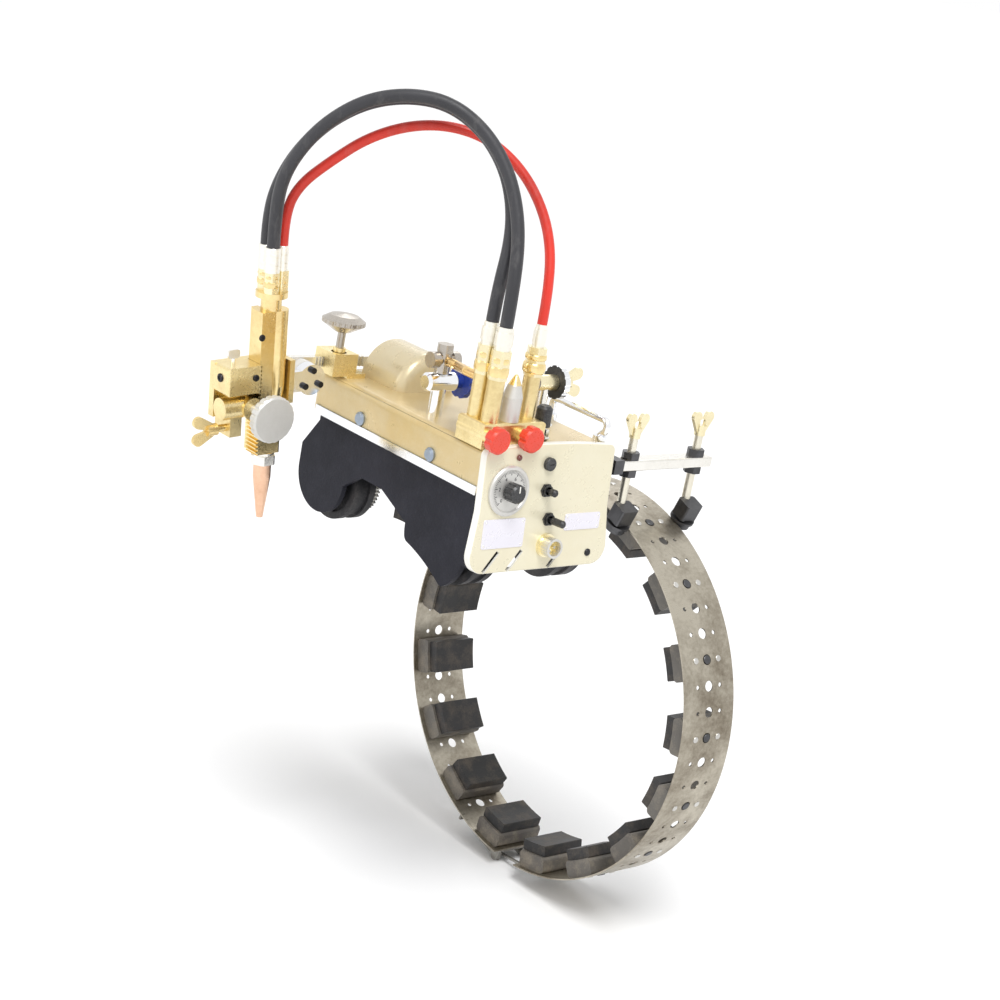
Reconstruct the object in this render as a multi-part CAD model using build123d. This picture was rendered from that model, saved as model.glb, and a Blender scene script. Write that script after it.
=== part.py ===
from build123d import *
import math
import os

os.makedirs("parts", exist_ok=True)

# Magnetic pipe cutter: a gas torch on a wheeled machine that creeps round a pipe along a magnetic band.
# Millimetres. Origin on the pipe's axis in the band's middle plane. +X runs along the pipe from torch to
# band, +Z points up through the machine, and the control panel faces -Y.

# Fits and gaps that several pieces share
run_gap = 0.05
skin_gap = 0.3
overrun = 2.0
shaft_r = 3.0

# Tooth shapes as shares of the module and of the pitch
root_share = 1.2
tip_share = 0.9
tooth_root_share = 0.30
tooth_tip_share = 0.11

# Pipe that the band clamps and the wheels roll on
pipe_r = 203.2

# Guide band
strip_width = 78.0
strip_thickness = 1.5
strip_standoff = 33.3
strip_gap = 36.0
foot_count = 17
holes_per_foot = 3
hole_r = 6.0
side_hole_r = 2.5
side_hole_offset = 17.5
foot_length = 42.0
foot_width = 66.0
foot_corner_r = 5.0
magnet_height = 13.0
magnet_length = 38.0
bolt_head_r = 5.0
bolt_head_height = 2.6
rivet_r = 3.6
rivet_height = 1.2

# Toggle latch that draws the band's ends together
latch_width = 46.0
latch_plate = 2.5
latch_pad_length = 40.0
ear_thickness = 3.0
latch_pin_r = 3.0
latch_pin_height = 14.0
latch_pin_y = 34.0
lever_length = 78.0
lever_slope = 15.0
lever_thickness = 3.0
lever_lip = 8.0
bail_rod_r = 2.0
bail_arm = 9.0
bail_half_width = 13.0
bail_lift = 1.2
cheek_depth = 4.0
hook_y = 30.0
hook_height = 11.0
hook_thickness = 4.0
hook_width = 20.0

# Machine body
body_offset = 231.5
body_width = 178.0
body_length = 300.0
body_top_height = 134.8
casing_wall = 2.5
casing_skirt = 45.0
casing_corner_r = 12.0
casing_edge_r = 9.0
strip_trim_height = 7.0
strip_trim_thickness = 2.0
trim_end_margin = 6.0
case_screw_r = 7.5
case_screw_height = 4.5
case_screw_drop = 30.0
case_screw_front_inset = 85.0
case_screw_rear_inset = 92.0
screw_notch_r = 10.0

# Motor cover, a round-backed hump on the casing
hump_r = 41.0
hump_length = 70.0
hump_rear_margin = 30.0
hump_bracket_gap = 5.5
hump_rise = 2.0
hump_end_r = 12.0
hump_wall = 2.5

# Chassis casting
plate_inset = 3.0
side_plate = 6.0
deck_thickness = 6.0
deck_drop = 52.0
plate_overlap = 7.0
guard_r = 42.0
guard_shift = 4.0
guard_rise = 5.0
front_guard_r = 50.0
front_guard_shift = 14.0
guard_clearance = 8.0
guard_tip_r = 8.0
cheek_height = 29.0
shoulder_reach = 21.0
shoulder_drop = 10.0
arch_height = 42.0
arch_rear_reach = 66.0
arch_front_reach = 112.0
boss_r = 17.0
boss_length = 7.0
bush_skin = 2.0
bush_wall = 4.0

# Wheels and axles
wheel_r = 44.0
wheel_width = 28.0
rear_wheel_inset = 38.0
front_wheel_inset = 46.0
wheel_boss_gap = 1.0
axle_r = 8.0
wheel_magnet_inset = 3.0
wheel_pole = 8.0
hub_r = 15.0
wheel_web_recess = 5.0

# Drive
gear_module = 1.5
axle_gear_teeth = 48
pinion_teeth = 20
gear_width = 9.0
gear_wheel_gap = 3.5
pinion_lean = 10.0
gearbox_wheel_gap = 18.0
gearbox_gap = 5.5
gearbox_length = 38.0
gearbox_height = 70.0
motor_r = 26.0
motor_length = 34.0
motor_cap_r = 20.0
motor_cap_length = 6.0
drive_shaft_r = 6.0
cradle_width = 40.0
cradle_length = 60.0
board_width = 60.0
board_length = 80.0
board_thickness = 1.6
board_standoff = 8.0
standoff_r = 3.0
chip_size = 18.0
chip_height = 9.0

# Belly magnet
belly_length = 52.0
belly_width = 96.0
belly_height = 22.0
belly_air_gap = 3.0
belly_post_r = 7.0
belly_post_spacing = 60.0

# Front panel
panel_height = 130.0
panel_depth = 9.0
panel_wall = 2.5
panel_crown = 4.0
panel_flare = 8.0
panel_top_corner_r = 8.0
panel_foot_corner_r = 20.0
panel_tilt = 4.6
panel_top_over = 2.0
panel_edge_r = 2.0
slot_width = 5.0
slot_length = 27.0
slot_angle = 50.0
slot_rise = 12.0
slot_first_x = 66.0
slot_second_x = 34.0
slot_third_x = 22.0
panel_screw_r = 4.0
panel_screw_height = 1.6
panel_screw_x = 68.0
panel_screw_drop = 116.0
lamp_x = 46.0
lamp_drop = 9.0
lamp_r = 3.0
lamp_height = 3.0

# Speed dial and knob
dial_x = 55.0
dial_drop = 43.0
dial_r = 26.5
dial_thickness = 4.0
dial_rim = 4.0
dial_bevel = 1.5
knob_r = 10.0
knob_height = 14.0
knob_flutes = 12
knob_flute_r = 1.6
pot_r = 10.0
pot_length = 14.0

# Column of switches
fuse_x = -4.0
toggle_x = -3.0
reverse_x = 5.0
socket_x = 6.0
fuse_drop = 17.0
fuse_r = 7.0
fuse_height = 5.0
fuse_slot = 1.6
toggle_drop = 45.0
reverse_drop = 76.0
toggle_nut_r = 7.5
toggle_nut_height = 2.5
toggle_bush_r = 5.8
toggle_bush_height = 5.0
toggle_mouth_r = 4.4
toggle_root_r = 2.2
toggle_pin_r = 1.5
toggle_pin_half = 3.8
toggle_tip_r = 4.0
toggle_length = 15.0
reverse_length = 24.0
toggle_case = 16.0
toggle_case_depth = 14.0
socket_drop = 104.0
socket_r = 10.5
socket_length = 16.0
socket_flange_r = 12.5
socket_flange = 3.0
socket_bore_r = 8.0
socket_bore_depth = 11.0
socket_pin_r = 1.5
socket_pin_ring = 4.0
socket_pin_count = 3

# Gas manifold on the casing's front left corner
manifold_rear_inset = 52.0
manifold_front_inset = 9.5
manifold_left_x = 93.0
manifold_right_x = 8.0
manifold_height = 26.0
manifold_edge_r = 3.0
column_r = 9.0
black_column_x = 76.5
black_rear_inset = 42.0
black_front_inset = 20.0
red_column_x = 18.5
red_column_inset = 32.0
union_height = 70.0
union_length = 30.0
union_across = 19.0
union_cone = 6.0
ferrule_r = 9.5
ferrule_length = 24.0
ferrule_ring = 5.0
red_ferrule_r = 7.5
cap_r = 10.5
cap_height = 38.0
cap_x = 50.0
cap_inset = 21.0
valve_height = 14.0
valve_r = 7.0
valve_length = 8.0
valve_left_x = 84.0
valve_right_x = 39.0
stem_r = 3.0
stem_gap = 3.0
red_knob_r = 13.5
red_knob_length = 11.0
red_knob_lobes = 6
red_knob_lobe_r = 3.0

# Inlet valve, tee and cross pipe behind the manifold
inlet_inset = 124.0
inlet_x = 61.0
inlet_r = 10.0
inlet_length = 40.0
inlet_height = 36.0
inlet_foot_r = 8.0
tee_r = 8.0
tee_height = 60.0
tee_arm_r = 6.5
tee_arm_length = 36.0
tee_nut_r = 8.5
tee_nut_length = 9.0
cross_pipe_r = 5.0
blue_knob_r = 18.0
blue_knob_length = 8.0
blue_knob_lobes = 8
blue_knob_lobe_r = 4.0
blue_hub_r = 7.0
blue_hub_length = 7.0

# Clamp wheel, its post and the carrying rod on the casing's right
post_x = 36.5
post_inset = 70.0
post_r = 6.0
post_height = 50.0
post_base_r = 16.0
post_base_height = 6.0
arm_r = 8.5
arm_length = 26.0
clamp_wheel_r = 18.0
clamp_wheel_length = 9.0
clamp_wheel_lobes = 12
clamp_wheel_lobe_r = 2.0
rod_r = 4.0
rod_side_inset = 5.0
rod_rear_inset = 98.0
rod_front_inset = 18.0
rod_height = 25.0
rod_bend_r = 7.0
rod_nose = 18.0
rod_boss_r = 7.5
rod_boss_height = 7.0

# Drive clutch lever
clutch_x = 4.0
clutch_inset = 28.0
clutch_base_r = 10.0
clutch_base_height = 5.0
clutch_ear_height = 13.0
clutch_ear = 4.0
clutch_slot = 7.0
clutch_lever_thickness = 6.0
clutch_lever_height = 28.0
clutch_grip_r = 8.5
clutch_grip_height = 22.0
clutch_pivot_height = 8.0
clutch_pin_r = 2.0
clutch_hub_r = 4.5
clutch_stem_r = 2.5

# Cross slide on the casing's rear left corner
bar_size = 11.0
bar_inset = 19.0
bar_height = 13.3
bar_left_reach = 55.5
bar_right_side_inset = 50.5
rack_module = 1.4
bracket_left_reach = 10.5
bracket_right_side_inset = 20.5
bracket_foot_side_inset = 34.0
bracket_front_inset = 44.0
bracket_rear_inset = 8.0
bracket_base = 5.0
bracket_top = 27.0
slide_pinion_teeth = 10
rack_gap = 0.25
mushroom_side_inset = 2.5
mushroom_stem_r = 4.5
mushroom_stem_height = 50.0
mushroom_r = 24.0
mushroom_thickness = 18.0
mushroom_rim = 4.0
mushroom_flutes = 24
mushroom_flute_r = 1.6

# Tilt head between slide and torch holder
tilt_reach = 41.5
tilt_height = -1.0
tilt_disc_r = 17.0
tilt_plate_front_inset = 50.0
tilt_plate_rear_inset = 38.0
tilt_pin_r = 5.0
tilt_screw_r = 3.4
tilt_screw_height = 4.0
tilt_screw_ring = 11.0
tilt_lean = 6.46

# Torch, drawn upright at the tip and then leant by the tilt head
torch_reach = 82.0
torch_inset = 50.0
torch_tip_height = 16.2
nozzle_length = 62.0
nozzle_tip_r = 3.6
nozzle_top_r = 9.5
nozzle_bore_r = 1.2
nut_length = 13.0
nut_across = 25.0
nut_collar_r = 12.0
nut_collar_length = 3.0
shank_left = 1.0
shank_right = 14.0
shank_depth = 22.0
shank_top = 112.0
barrel_r = 12.0
barrel_offset = 8.0
barrel_start = 100.0
barrel_end = 231.0
barrel_cone = 48.0
torch_rack_left = 17.0
torch_rack_width = 16.0
torch_rack_depth = 22.0
torch_rack_start = 75.0
torch_rack_tooth_end = 176.0
rack_tongue_width = 8.0
rack_tongue_depth = 4.8
neck_r = 11.0
neck_length = 14.0
head_union_length = 22.0
head_union_across = 15.0
head_ring = 9.6
head_ferrule_length = 26.0
head_plate_r = 17.0
head_plate = 6.0

# Torch holder with its rack pinion
holder_back = 9.0
holder_back_start = 117.0
holder_back_end = 176.0
holder_web = 6.0
holder_block_left = 57.0
holder_block_start = 146.0
holder_block_end = 176.0
holder_block_front = 14.0
holder_edge_r = 3.0
sleeve_r = 12.0
pinion_station = 129.0
holder_lug_width = 14.0
holder_lug_depth = 16.0
holder_lug_offset = 17.0
holder_lug_drop = 21.0
lug_half_height = 9.0
lift_pinion_teeth = 10
lift_shaft_r = 4.0
disc_r = 25.0
disc_thickness = 9.0
disc_front_reach = 54.0
disc_flutes = 20
disc_flute_r = 2.0
thumb_stem_r = 2.5
thumb_stem_length = 7.0
thumb_wing = 14.0
thumb_thickness = 3.0
thumb_height = 9.0

# Wing screws
wing_stem_r = 4.0
wing_span = 32.0
wing_lobe_r = 6.5
wing_thickness = 4.5
wing_rise = 15.0
wing_hub_r = 6.5
wing_hub_length = 12.0
holder_wing_stem = 12.0
holder_wing_hole = 7.0

# Guide arms that ride the band's edges
guide_y = 85.0
guide_bar_height = 12.0
guide_bar_depth = 20.0
guide_bar_rise = 90.8
guide_bar_overhang = 18.7
guide_bar_edge_r = 2.0
guide_slot = 8.0
guide_head_length = 14.0
guide_head_margin = 2.0
bracket_plate = 14.0
bracket_foot_low = 22.0
bracket_foot_high = 58.0
bracket_knee_x = 40.0
bracket_knee_low = 28.0
guide_rod_r = 5.0
guide_rod_top = 148.0
guide_nut_r = 9.0
guide_nut_length = 8.0
roller_r = 12.0
roller_flange = 2.5
roller_flange_thickness = 3.0
roller_groove = 4.0
roller_pin_r = 3.0
roller_pin_head_r = 5.0
roller_pin_head = 2.0
fork_radial = 20.0
fork_gap = 2.0
fork_length = 20.0
fork_width = 24.0
fork_edge_r = 3.0

# Hoses
black_hose_r = 6.8
red_hose_r = 5.3
hose_share = 0.45
hose_lead = 34.0

# Places worked out from the sizes above
strip_inner_r = pipe_r + strip_standoff
strip_outer_r = strip_inner_r + strip_thickness
body_x = -body_offset
half_body = body_width / 2
half_length = body_length / 2
front_wheel_y = half_length - front_wheel_inset
manifold_rear_y = half_length - manifold_rear_inset
manifold_front_y = half_length - manifold_front_inset
black_rear_y = half_length - black_rear_inset
black_front_y = half_length - black_front_inset
red_column_y = half_length - red_column_inset
cap_y = half_length - cap_inset
post_y = half_length - post_inset
rod_rear_y = half_length - rod_rear_inset
rod_front_y = half_length - rod_front_inset
clutch_y = half_length - clutch_inset
inlet_y = half_length - inlet_inset
case_screw_front_y = half_length - case_screw_front_inset
case_screw_rear_y = half_length - case_screw_rear_inset
rear_wheel_y = half_length - rear_wheel_inset
bar_y = half_length - bar_inset
bracket_front_y = half_length - bracket_front_inset
bracket_rear_y = half_length - bracket_rear_inset
tilt_plate_front_y = half_length - tilt_plate_front_inset
tilt_plate_rear_y = half_length - tilt_plate_rear_inset
torch_y = half_length - torch_inset
bracket_right_x = half_body - bracket_right_side_inset
bracket_foot_x = half_body - bracket_foot_side_inset
bar_right_x = half_body - bar_right_side_inset
mushroom_x = half_body - mushroom_side_inset
rod_x = half_body - rod_side_inset
bracket_left_x = half_body + bracket_left_reach
bar_left_x = half_body + bar_left_reach
tilt_x = half_body + tilt_reach
torch_x = half_body + torch_reach
casing_top = pipe_r + body_top_height
skirt_z = casing_top - casing_skirt
plate_outer = half_body - plate_inset
plate_inner = plate_outer - side_plate
deck_top = casing_top - deck_drop
roll_r = pipe_r + wheel_r + skin_gap
rear_axle_z = math.sqrt(roll_r ** 2 - rear_wheel_y ** 2)
front_axle_z = math.sqrt(roll_r ** 2 - front_wheel_y ** 2)
axle_places = ((-front_wheel_y, front_axle_z), (rear_wheel_y, rear_axle_z))
wheel_outer = plate_inner - boss_length - wheel_boss_gap
gear_offset_x = wheel_outer - wheel_width - gear_wheel_gap - gear_width / 2
gearbox_left = gear_offset_x - gear_width / 2 - gearbox_gap
gearbox_right = wheel_outer - wheel_width - gearbox_wheel_gap
axle_gear_r = gear_module * axle_gear_teeth / 2
pinion_r = gear_module * pinion_teeth / 2
pinion_y = rear_wheel_y + (axle_gear_r + pinion_r) * math.sin(math.radians(pinion_lean))
pinion_z = rear_axle_z + (axle_gear_r + pinion_r) * math.cos(math.radians(pinion_lean))
hump_rear = body_length / 2 - hump_rear_margin
hump_offset_x = bracket_foot_x - hump_r - hump_bracket_gap
hump_front = hump_rear - hump_length
hump_x = body_x - hump_offset_x
motor_z = casing_top + hump_rise
panel_top = casing_top + panel_top_over
panel_place = Pos(body_x, -body_length / 2, panel_top) * Rot(-panel_tilt, 0, 0)
bar_z = casing_top + bar_height
tilt_z = casing_top - tilt_height
tip_z = pipe_r - torch_tip_height
slide_pinion_r = rack_module * slide_pinion_teeth / 2
lift_pinion_r = rack_module * lift_pinion_teeth / 2
bar_front = bar_y - bar_size / 2
mushroom_y = bar_front - slide_pinion_r - rack_gap
lift_x = torch_rack_left + lift_pinion_r + rack_gap
clevis_front_y = tilt_plate_rear_y + skin_gap
holder_web_left = barrel_offset + barrel_r + skin_gap
holder_right = holder_web_left + holder_web
holder_back_front = barrel_r + skin_gap
holder_back_rear = holder_back_front + holder_back
guide_x = strip_width / 2 + skin_gap + roller_r
guide_bar_end = guide_x + guide_bar_overhang
guide_angle = math.degrees(math.asin(guide_y / (strip_outer_r - strip_thickness / 2)))
guide_bar_z = pipe_r + guide_bar_rise
roller_mid_r = strip_outer_r - strip_thickness / 2
union_base = casing_top + union_height
hose_base = union_base + union_length + ferrule_length


# Small building blocks

def block(x0, x1, y0, y1, z0, z1):
    """A box between pairs of planes."""
    middle = Pos((x0 + x1) / 2, (y0 + y1) / 2, (z0 + z1) / 2)
    return middle * Box(abs(x1 - x0), abs(y1 - y0), abs(z1 - z0))


def rod_along_x(r, x0, x1, y, z):
    """A round bar along X."""
    return Pos((x0 + x1) / 2, y, z) * Rot(0, 90, 0) * Cylinder(r, abs(x1 - x0))


def rod_along_y(r, y0, y1, x, z):
    """A round bar along Y."""
    return Pos(x, (y0 + y1) / 2, z) * Rot(90, 0, 0) * Cylinder(r, abs(y1 - y0))


def rod_along_z(r, z0, z1, x, y):
    """A round bar along Z."""
    return Pos(x, y, (z0 + z1) / 2) * Cylinder(r, abs(z1 - z0))


def hex_along_z(across, z0, z1, x, y):
    """A hexagon nut's body along Z, with its tips rounded off."""
    apothem = across / 2
    tip_r = across / math.sqrt(3)
    prism = extrude(RegularPolygon(tip_r, 6), z1 - z0)
    rounded = Pos(0, 0, (z1 - z0) / 2) * Cylinder(tip_r - (tip_r - apothem) / 3, z1 - z0)
    return Pos(x, y, z0) * (prism & rounded)


def lathe(points):
    """A solid turned about Z from its half outline of radius and height."""
    outline = make_face(Polyline(*points, points[0]))
    return revolve(Plane.XZ * outline, Axis.Z)


def fluted(r, length, count, flute_r, bevel):
    """A hand knob with flutes round its rim, standing on z = 0."""
    knob = bevelled(r, length, bevel)
    cuts = [loc * Cylinder(flute_r, length * 3) for loc in PolarLocations(r + flute_r / 2, count)]
    return knob - cuts


def bevelled(r, length, bevel):
    """A disc with a bevelled top edge, standing on z = 0."""
    return lathe([(0, 0), (r, 0), (r, length - bevel), (r - bevel, length), (0, length)])


def toothed(teeth, module, width, turn):
    """A spur gear about Z with plain straight-flanked teeth, centred on z = 0."""
    root_r = module * (teeth / 2 - root_share)
    tip_r = module * (teeth / 2 + tip_share)
    pitch = 360 / teeth
    points = []
    for index in range(teeth):
        middle = turn + index * pitch
        for radius, share in ((root_r, -tooth_root_share), (tip_r, -tooth_tip_share),
                              (tip_r, tooth_tip_share), (root_r, tooth_root_share)):
            angle = math.radians(middle + share * pitch)
            points.append((radius * math.cos(angle), radius * math.sin(angle)))
    return Pos(0, 0, -width / 2) * extrude(make_face(Polyline(*points, points[0])), width)


def wing_screw_head():
    """Two rounded ears that rise from a hub, standing on z = 0 about Z."""
    ears = []
    for side in (-1, 1):
        arm = make_hull([*(Pos(side * wing_hub_r / 2,
                               wing_hub_length / 2) * Circle(wing_hub_length / 3)).edges(),
                         *(Pos(side * (wing_span / 2 - wing_lobe_r), wing_rise + wing_lobe_r)
                           * Circle(wing_lobe_r)).edges()])
        ears.append(extrude(Plane.XZ * arm, wing_thickness / 2, both=True))
    hub = Pos(0, 0, wing_hub_length / 2) * Cylinder(wing_hub_r, wing_hub_length)
    return hub + ears


def about_pipe(angle):
    """A turn about the pipe's axis, from the top towards -Y for positive angles."""
    return Rot(angle, 0, 0)


def band_arc(inner, outer, width):
    """A full ring about the pipe's axis."""
    return extrude(Plane.YZ * (Circle(outer) - Circle(inner)), width / 2, both=True)


def band_core():
    """All that lies inside the strip."""
    return Rot(0, 90, 0) * Cylinder(strip_outer_r, strip_width)


def group(solids):
    """Several solids of one kind as one node."""
    return Compound(children=list(solids))


def save(shape, name):
    """Write one node."""
    shape.label = name
    export_step(shape, "parts/" + name + ".step")


# Guide band

def foot_angles():
    """Where the feet sit round the pipe, with one foot at the top."""
    return [index * 360 / foot_count for index in range(foot_count)]


def strip():
    """The perforated steel strip, open at the bottom."""
    ring = band_arc(strip_inner_r, strip_outer_r, strip_width)
    ring -= block(-strip_width, strip_width, -strip_gap / 2, strip_gap / 2, -strip_outer_r * 2, 0)
    mid_r = (strip_inner_r + strip_outer_r) / 2
    hole_step = 360 / (foot_count * holes_per_foot)
    cuts = []
    for index in range(foot_count * holes_per_foot):
        angle = index * hole_step
        under_latch = abs(angle - 180) < math.degrees((latch_pin_y + latch_pad_length) / strip_outer_r)
        if under_latch:
            continue
        turn = about_pipe(angle)
        cuts.append(turn * Pos(0, 0, mid_r) * Cylinder(hole_r, strip_thickness * 3))
        if index % holes_per_foot:
            for side in (-1, 1):
                cuts.append(turn * Pos(side * side_hole_offset, 0, mid_r) * Cylinder(side_hole_r,
                                                                                     strip_thickness * 3))
    return ring - cuts


def foot_sector(inner, outer, length, width, corner):
    """One block that follows the pipe's curve between two radii, at the top of the band."""
    annulus = Circle(outer) - Circle(inner)
    cut = Pos(0, (inner + outer) / 2) * Rectangle(length, (outer - inner) * 3)
    solid = extrude(Plane.YZ * (annulus & cut), width / 2, both=True)
    return fillet(solid.edges().filter_by(Axis.X), corner)


def foot_yokes():
    """Steel yokes between strip and magnets."""
    yoke = foot_sector(pipe_r + magnet_height, strip_inner_r, foot_length, foot_width, foot_corner_r)
    return group(about_pipe(angle) * yoke for angle in foot_angles())


def foot_magnets():
    """Block magnets whose inner faces hold the pipe."""
    magnet = foot_sector(pipe_r, pipe_r + magnet_height, magnet_length, foot_width - magnet_height / 2,
                         rivet_height)
    return group(about_pipe(angle) * magnet for angle in foot_angles())


def foot_bolts():
    """Dark bolt heads that stand in every third large hole."""
    bolt = Pos(0, 0, strip_inner_r) * bevelled(bolt_head_r, bolt_head_height, bolt_head_height / 4)
    angles = [angle for angle in foot_angles() if abs(angle - 180) > 360 / foot_count]
    return group(about_pipe(angle) * bolt for angle in angles)


def band_rivets():
    """Rivet heads beside each bolt."""
    head = Pos(0, 0, strip_outer_r) * bevelled(rivet_r, rivet_height, rivet_height / 2)
    angles = [angle for angle in foot_angles() if abs(angle - 180) > 360 / foot_count]
    return group(about_pipe(angle) * Pos(side * side_hole_offset, 0, 0) * head
                 for angle in angles for side in (-1, 1))


def latch_pad(y_sign):
    """A curved plate on the strip's outer side beside the gap."""
    ring = band_arc(strip_outer_r, strip_outer_r + latch_plate, latch_width)
    near = strip_gap / 2
    far = near + latch_pad_length
    return ring & block(-latch_width, latch_width, y_sign * near, y_sign * far, -strip_outer_r * 2, 0)


def latch_pin_z():
    """Height of the lever's pivot."""
    return -(strip_outer_r + latch_pin_height)


def latch_base():
    """Pad with two ears that carry the lever's pin."""
    pad = latch_pad(1)
    ears = []
    for side in (-1, 1):
        middle = side * (latch_width / 2 - ear_thickness / 2)
        ear = make_hull([*(Pos(latch_pin_y, latch_pin_z()) * Circle(latch_pin_r * 2)).edges(),
                         *(Pos(latch_pin_y, -strip_outer_r) * Rectangle(latch_pin_r * 7,
                                                                        latch_plate)).edges()])
        ears.append(Pos(middle, 0, 0) * extrude(Plane.YZ * ear, ear_thickness / 2, both=True))
    body = pad + ears
    body -= band_core()
    return body - rod_along_x(latch_pin_r + run_gap, -latch_width, latch_width, latch_pin_y, latch_pin_z())


def latch_keeper():
    """Pad with the hook that the bail draws on."""
    hook = block(-hook_width / 2, hook_width / 2, -hook_y, -hook_y + hook_thickness,
                 -(strip_outer_r + hook_height), -strip_outer_r + hook_thickness)
    tip = hook.edges().filter_by(Axis.X).group_by(Axis.Z)[0]
    body = latch_pad(-1) + fillet(tip, hook_thickness / 3)
    return body - band_core()


def latch_lever():
    """Toggle lever with its pin, folded back along the band."""
    inside = latch_width / 2 - ear_thickness - skin_gap
    flat = block(-inside, inside, 0, lever_length, -lever_thickness / 2, lever_thickness / 2)
    lip = block(-inside, inside, lever_length - lever_thickness, lever_length, -lever_lip, 0)
    cheeks = [block(side * inside, side * (inside - ear_thickness), -latch_pin_r * 2, lever_length / 2,
                    -cheek_depth, lever_lip) for side in (-1, 1)]
    slot = block(-bail_half_width - bail_rod_r * 2, bail_half_width + bail_rod_r * 2,
                 -bail_arm * 2, bail_arm + bail_rod_r * 4, -lever_lip, lever_lip)
    stubs = [rod_along_x(latch_pin_r, side * (inside - ear_thickness), side * latch_width / 2, 0, 0)
             for side in (-1, 1)]
    lever = flat + lip - slot + cheeks + stubs
    lever -= rod_along_x(bail_rod_r + run_gap, -latch_width, latch_width, bail_arm, -bail_lift)
    return Pos(0, latch_pin_y, latch_pin_z()) * Rot(lever_slope, 0, 0) * lever


def bail_pivot():
    """Where the bail hangs on the lever: Y and Z."""
    slope = math.radians(lever_slope)
    y = bail_arm * math.cos(slope) + bail_lift * math.sin(slope)
    z = bail_arm * math.sin(slope) - bail_lift * math.cos(slope)
    return (latch_pin_y + y, latch_pin_z() + z)


def latch_bail():
    """Bent wire link between lever and hook."""
    y, z = bail_pivot()
    far_y = -hook_y - bail_rod_r - skin_gap
    far_z = -(strip_outer_r + hook_height / 2 + latch_plate / 2)
    corners = []
    for side in (-1, 1):
        x = side * bail_half_width
        corners.append(wire_between((x, y, z), (x, far_y, far_z), bail_rod_r))
        corners.append(Pos(x, y, z) * Sphere(bail_rod_r))
        corners.append(Pos(x, far_y, far_z) * Sphere(bail_rod_r))
    pin_reach = latch_width / 2 - ear_thickness - skin_gap
    across = [rod_along_x(bail_rod_r, -half, half, yy, zz)
              for half, yy, zz in ((pin_reach, y, z), (bail_half_width, far_y, far_z))]
    whole = across[0]
    for piece in across[1:] + corners:
        whole += piece
    return whole


def wire_between(start, end, r):
    """A straight round wire between two points."""
    line = Line(start, end)
    return sweep(Plane(origin=start, z_dir=line % 0) * Circle(r), path=line)


def make_band():
    """Write the band's nodes."""
    save(strip(), "track_band")
    save(foot_yokes(), "foot_yokes")
    save(foot_magnets(), "foot_magnets")
    save(foot_bolts(), "foot_bolts")
    save(band_rivets(), "band_rivets")
    save(group([latch_base(), latch_keeper()]), "latch_plates")
    save(latch_lever(), "latch_lever")
    save(latch_bail(), "latch_bail")


# Machine body

def side_outline():
    """Side plate's outline in YZ: two rounded wheel guards, a sloped shoulder and an arch between."""
    top = skirt_z + plate_overlap
    (front_y, front_z), (rear_y, rear_z) = axle_places
    nose_y = -body_length / 2 - panel_depth
    nose_low = panel_top - panel_height + plate_inset
    guard_y = rear_y + guard_shift
    guard_z = rear_z + guard_rise
    front_guard_y = front_y + front_guard_shift
    arch_z = pipe_r + arch_height
    shoulder_y = rear_y + shoulder_reach
    corners = [(nose_y, top), (nose_y, nose_low), (front_y, nose_low),
               (front_guard_y + front_guard_r, front_z),
               (front_y + arch_front_reach, arch_z), (rear_y - arch_rear_reach,
                                                      arch_z), (guard_y - guard_r, guard_z),
               (guard_y + guard_r, guard_z), (guard_y + guard_r, rear_z + cheek_height),
               (shoulder_y, skirt_z - shoulder_drop), (shoulder_y, top)]
    outline = make_face(Polyline(*corners, corners[0]))
    outline += Pos(guard_y, guard_z) * Circle(guard_r)
    outline += Pos(front_guard_y, front_z) * Circle(front_guard_r)
    outline -= Circle(pipe_r + guard_clearance)
    near = pipe_r + guard_clearance + skin_gap
    tips = [corner for corner in outline.vertices() if math.hypot(corner.X, corner.Y) < near]
    return fillet(tips, guard_tip_r)


def before_panel(gap):
    """All that lies in front of the panel's back plane, less a gap."""
    return panel_place * block(-body_width, body_width, -body_length, panel_depth + gap, -body_length,
                               body_length)


def chassis_frame():
    """Black casting: two side plates, a deck between them and bearing bosses."""
    outline = side_outline()
    plates = []
    for side in (-1, 1):
        outer = body_x + side * plate_outer
        inner = body_x + side * plate_inner
        sheet = Pos((outer + inner) / 2, 0, 0) * extrude(Plane.YZ * outline, side_plate / 2, both=True)
        for y, z in axle_places:
            sheet += rod_along_x(boss_r, inner, inner - side * boss_length, y, z)
            sheet -= rod_along_x(axle_r + bush_wall, outer - side * bush_skin,
                                 inner - side * boss_length * 2, y, z)
        plates.append(sheet)
    half_deck = body_length / 2 - panel_depth * 2
    deck = block(body_x - plate_inner, body_x + plate_inner, -half_deck, half_deck,
                 deck_top - deck_thickness, deck_top)
    deck -= block(body_x - gear_offset_x - gear_width, body_x + gearbox_right + skin_gap,
                  pinion_y - gearbox_length / 2 - skin_gap, body_length, 0, casing_top)
    deck -= block(body_x - gear_offset_x - gear_width, body_x - gear_offset_x + gear_width,
                  rear_wheel_y - axle_gear_r - gear_module * 3, body_length, 0, casing_top)
    rear = pinion_y - gearbox_length / 2 - casing_wall
    saddle = block(hump_x - cradle_width / 2, hump_x + cradle_width / 2, rear - cradle_length, rear,
                   deck_top, motor_z)
    saddle -= rod_along_y(motor_r, rear - cradle_length - overrun, rear + overrun, hump_x, motor_z)
    return plates[0] + plates[1] + deck + saddle - before_panel(skin_gap)


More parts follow.
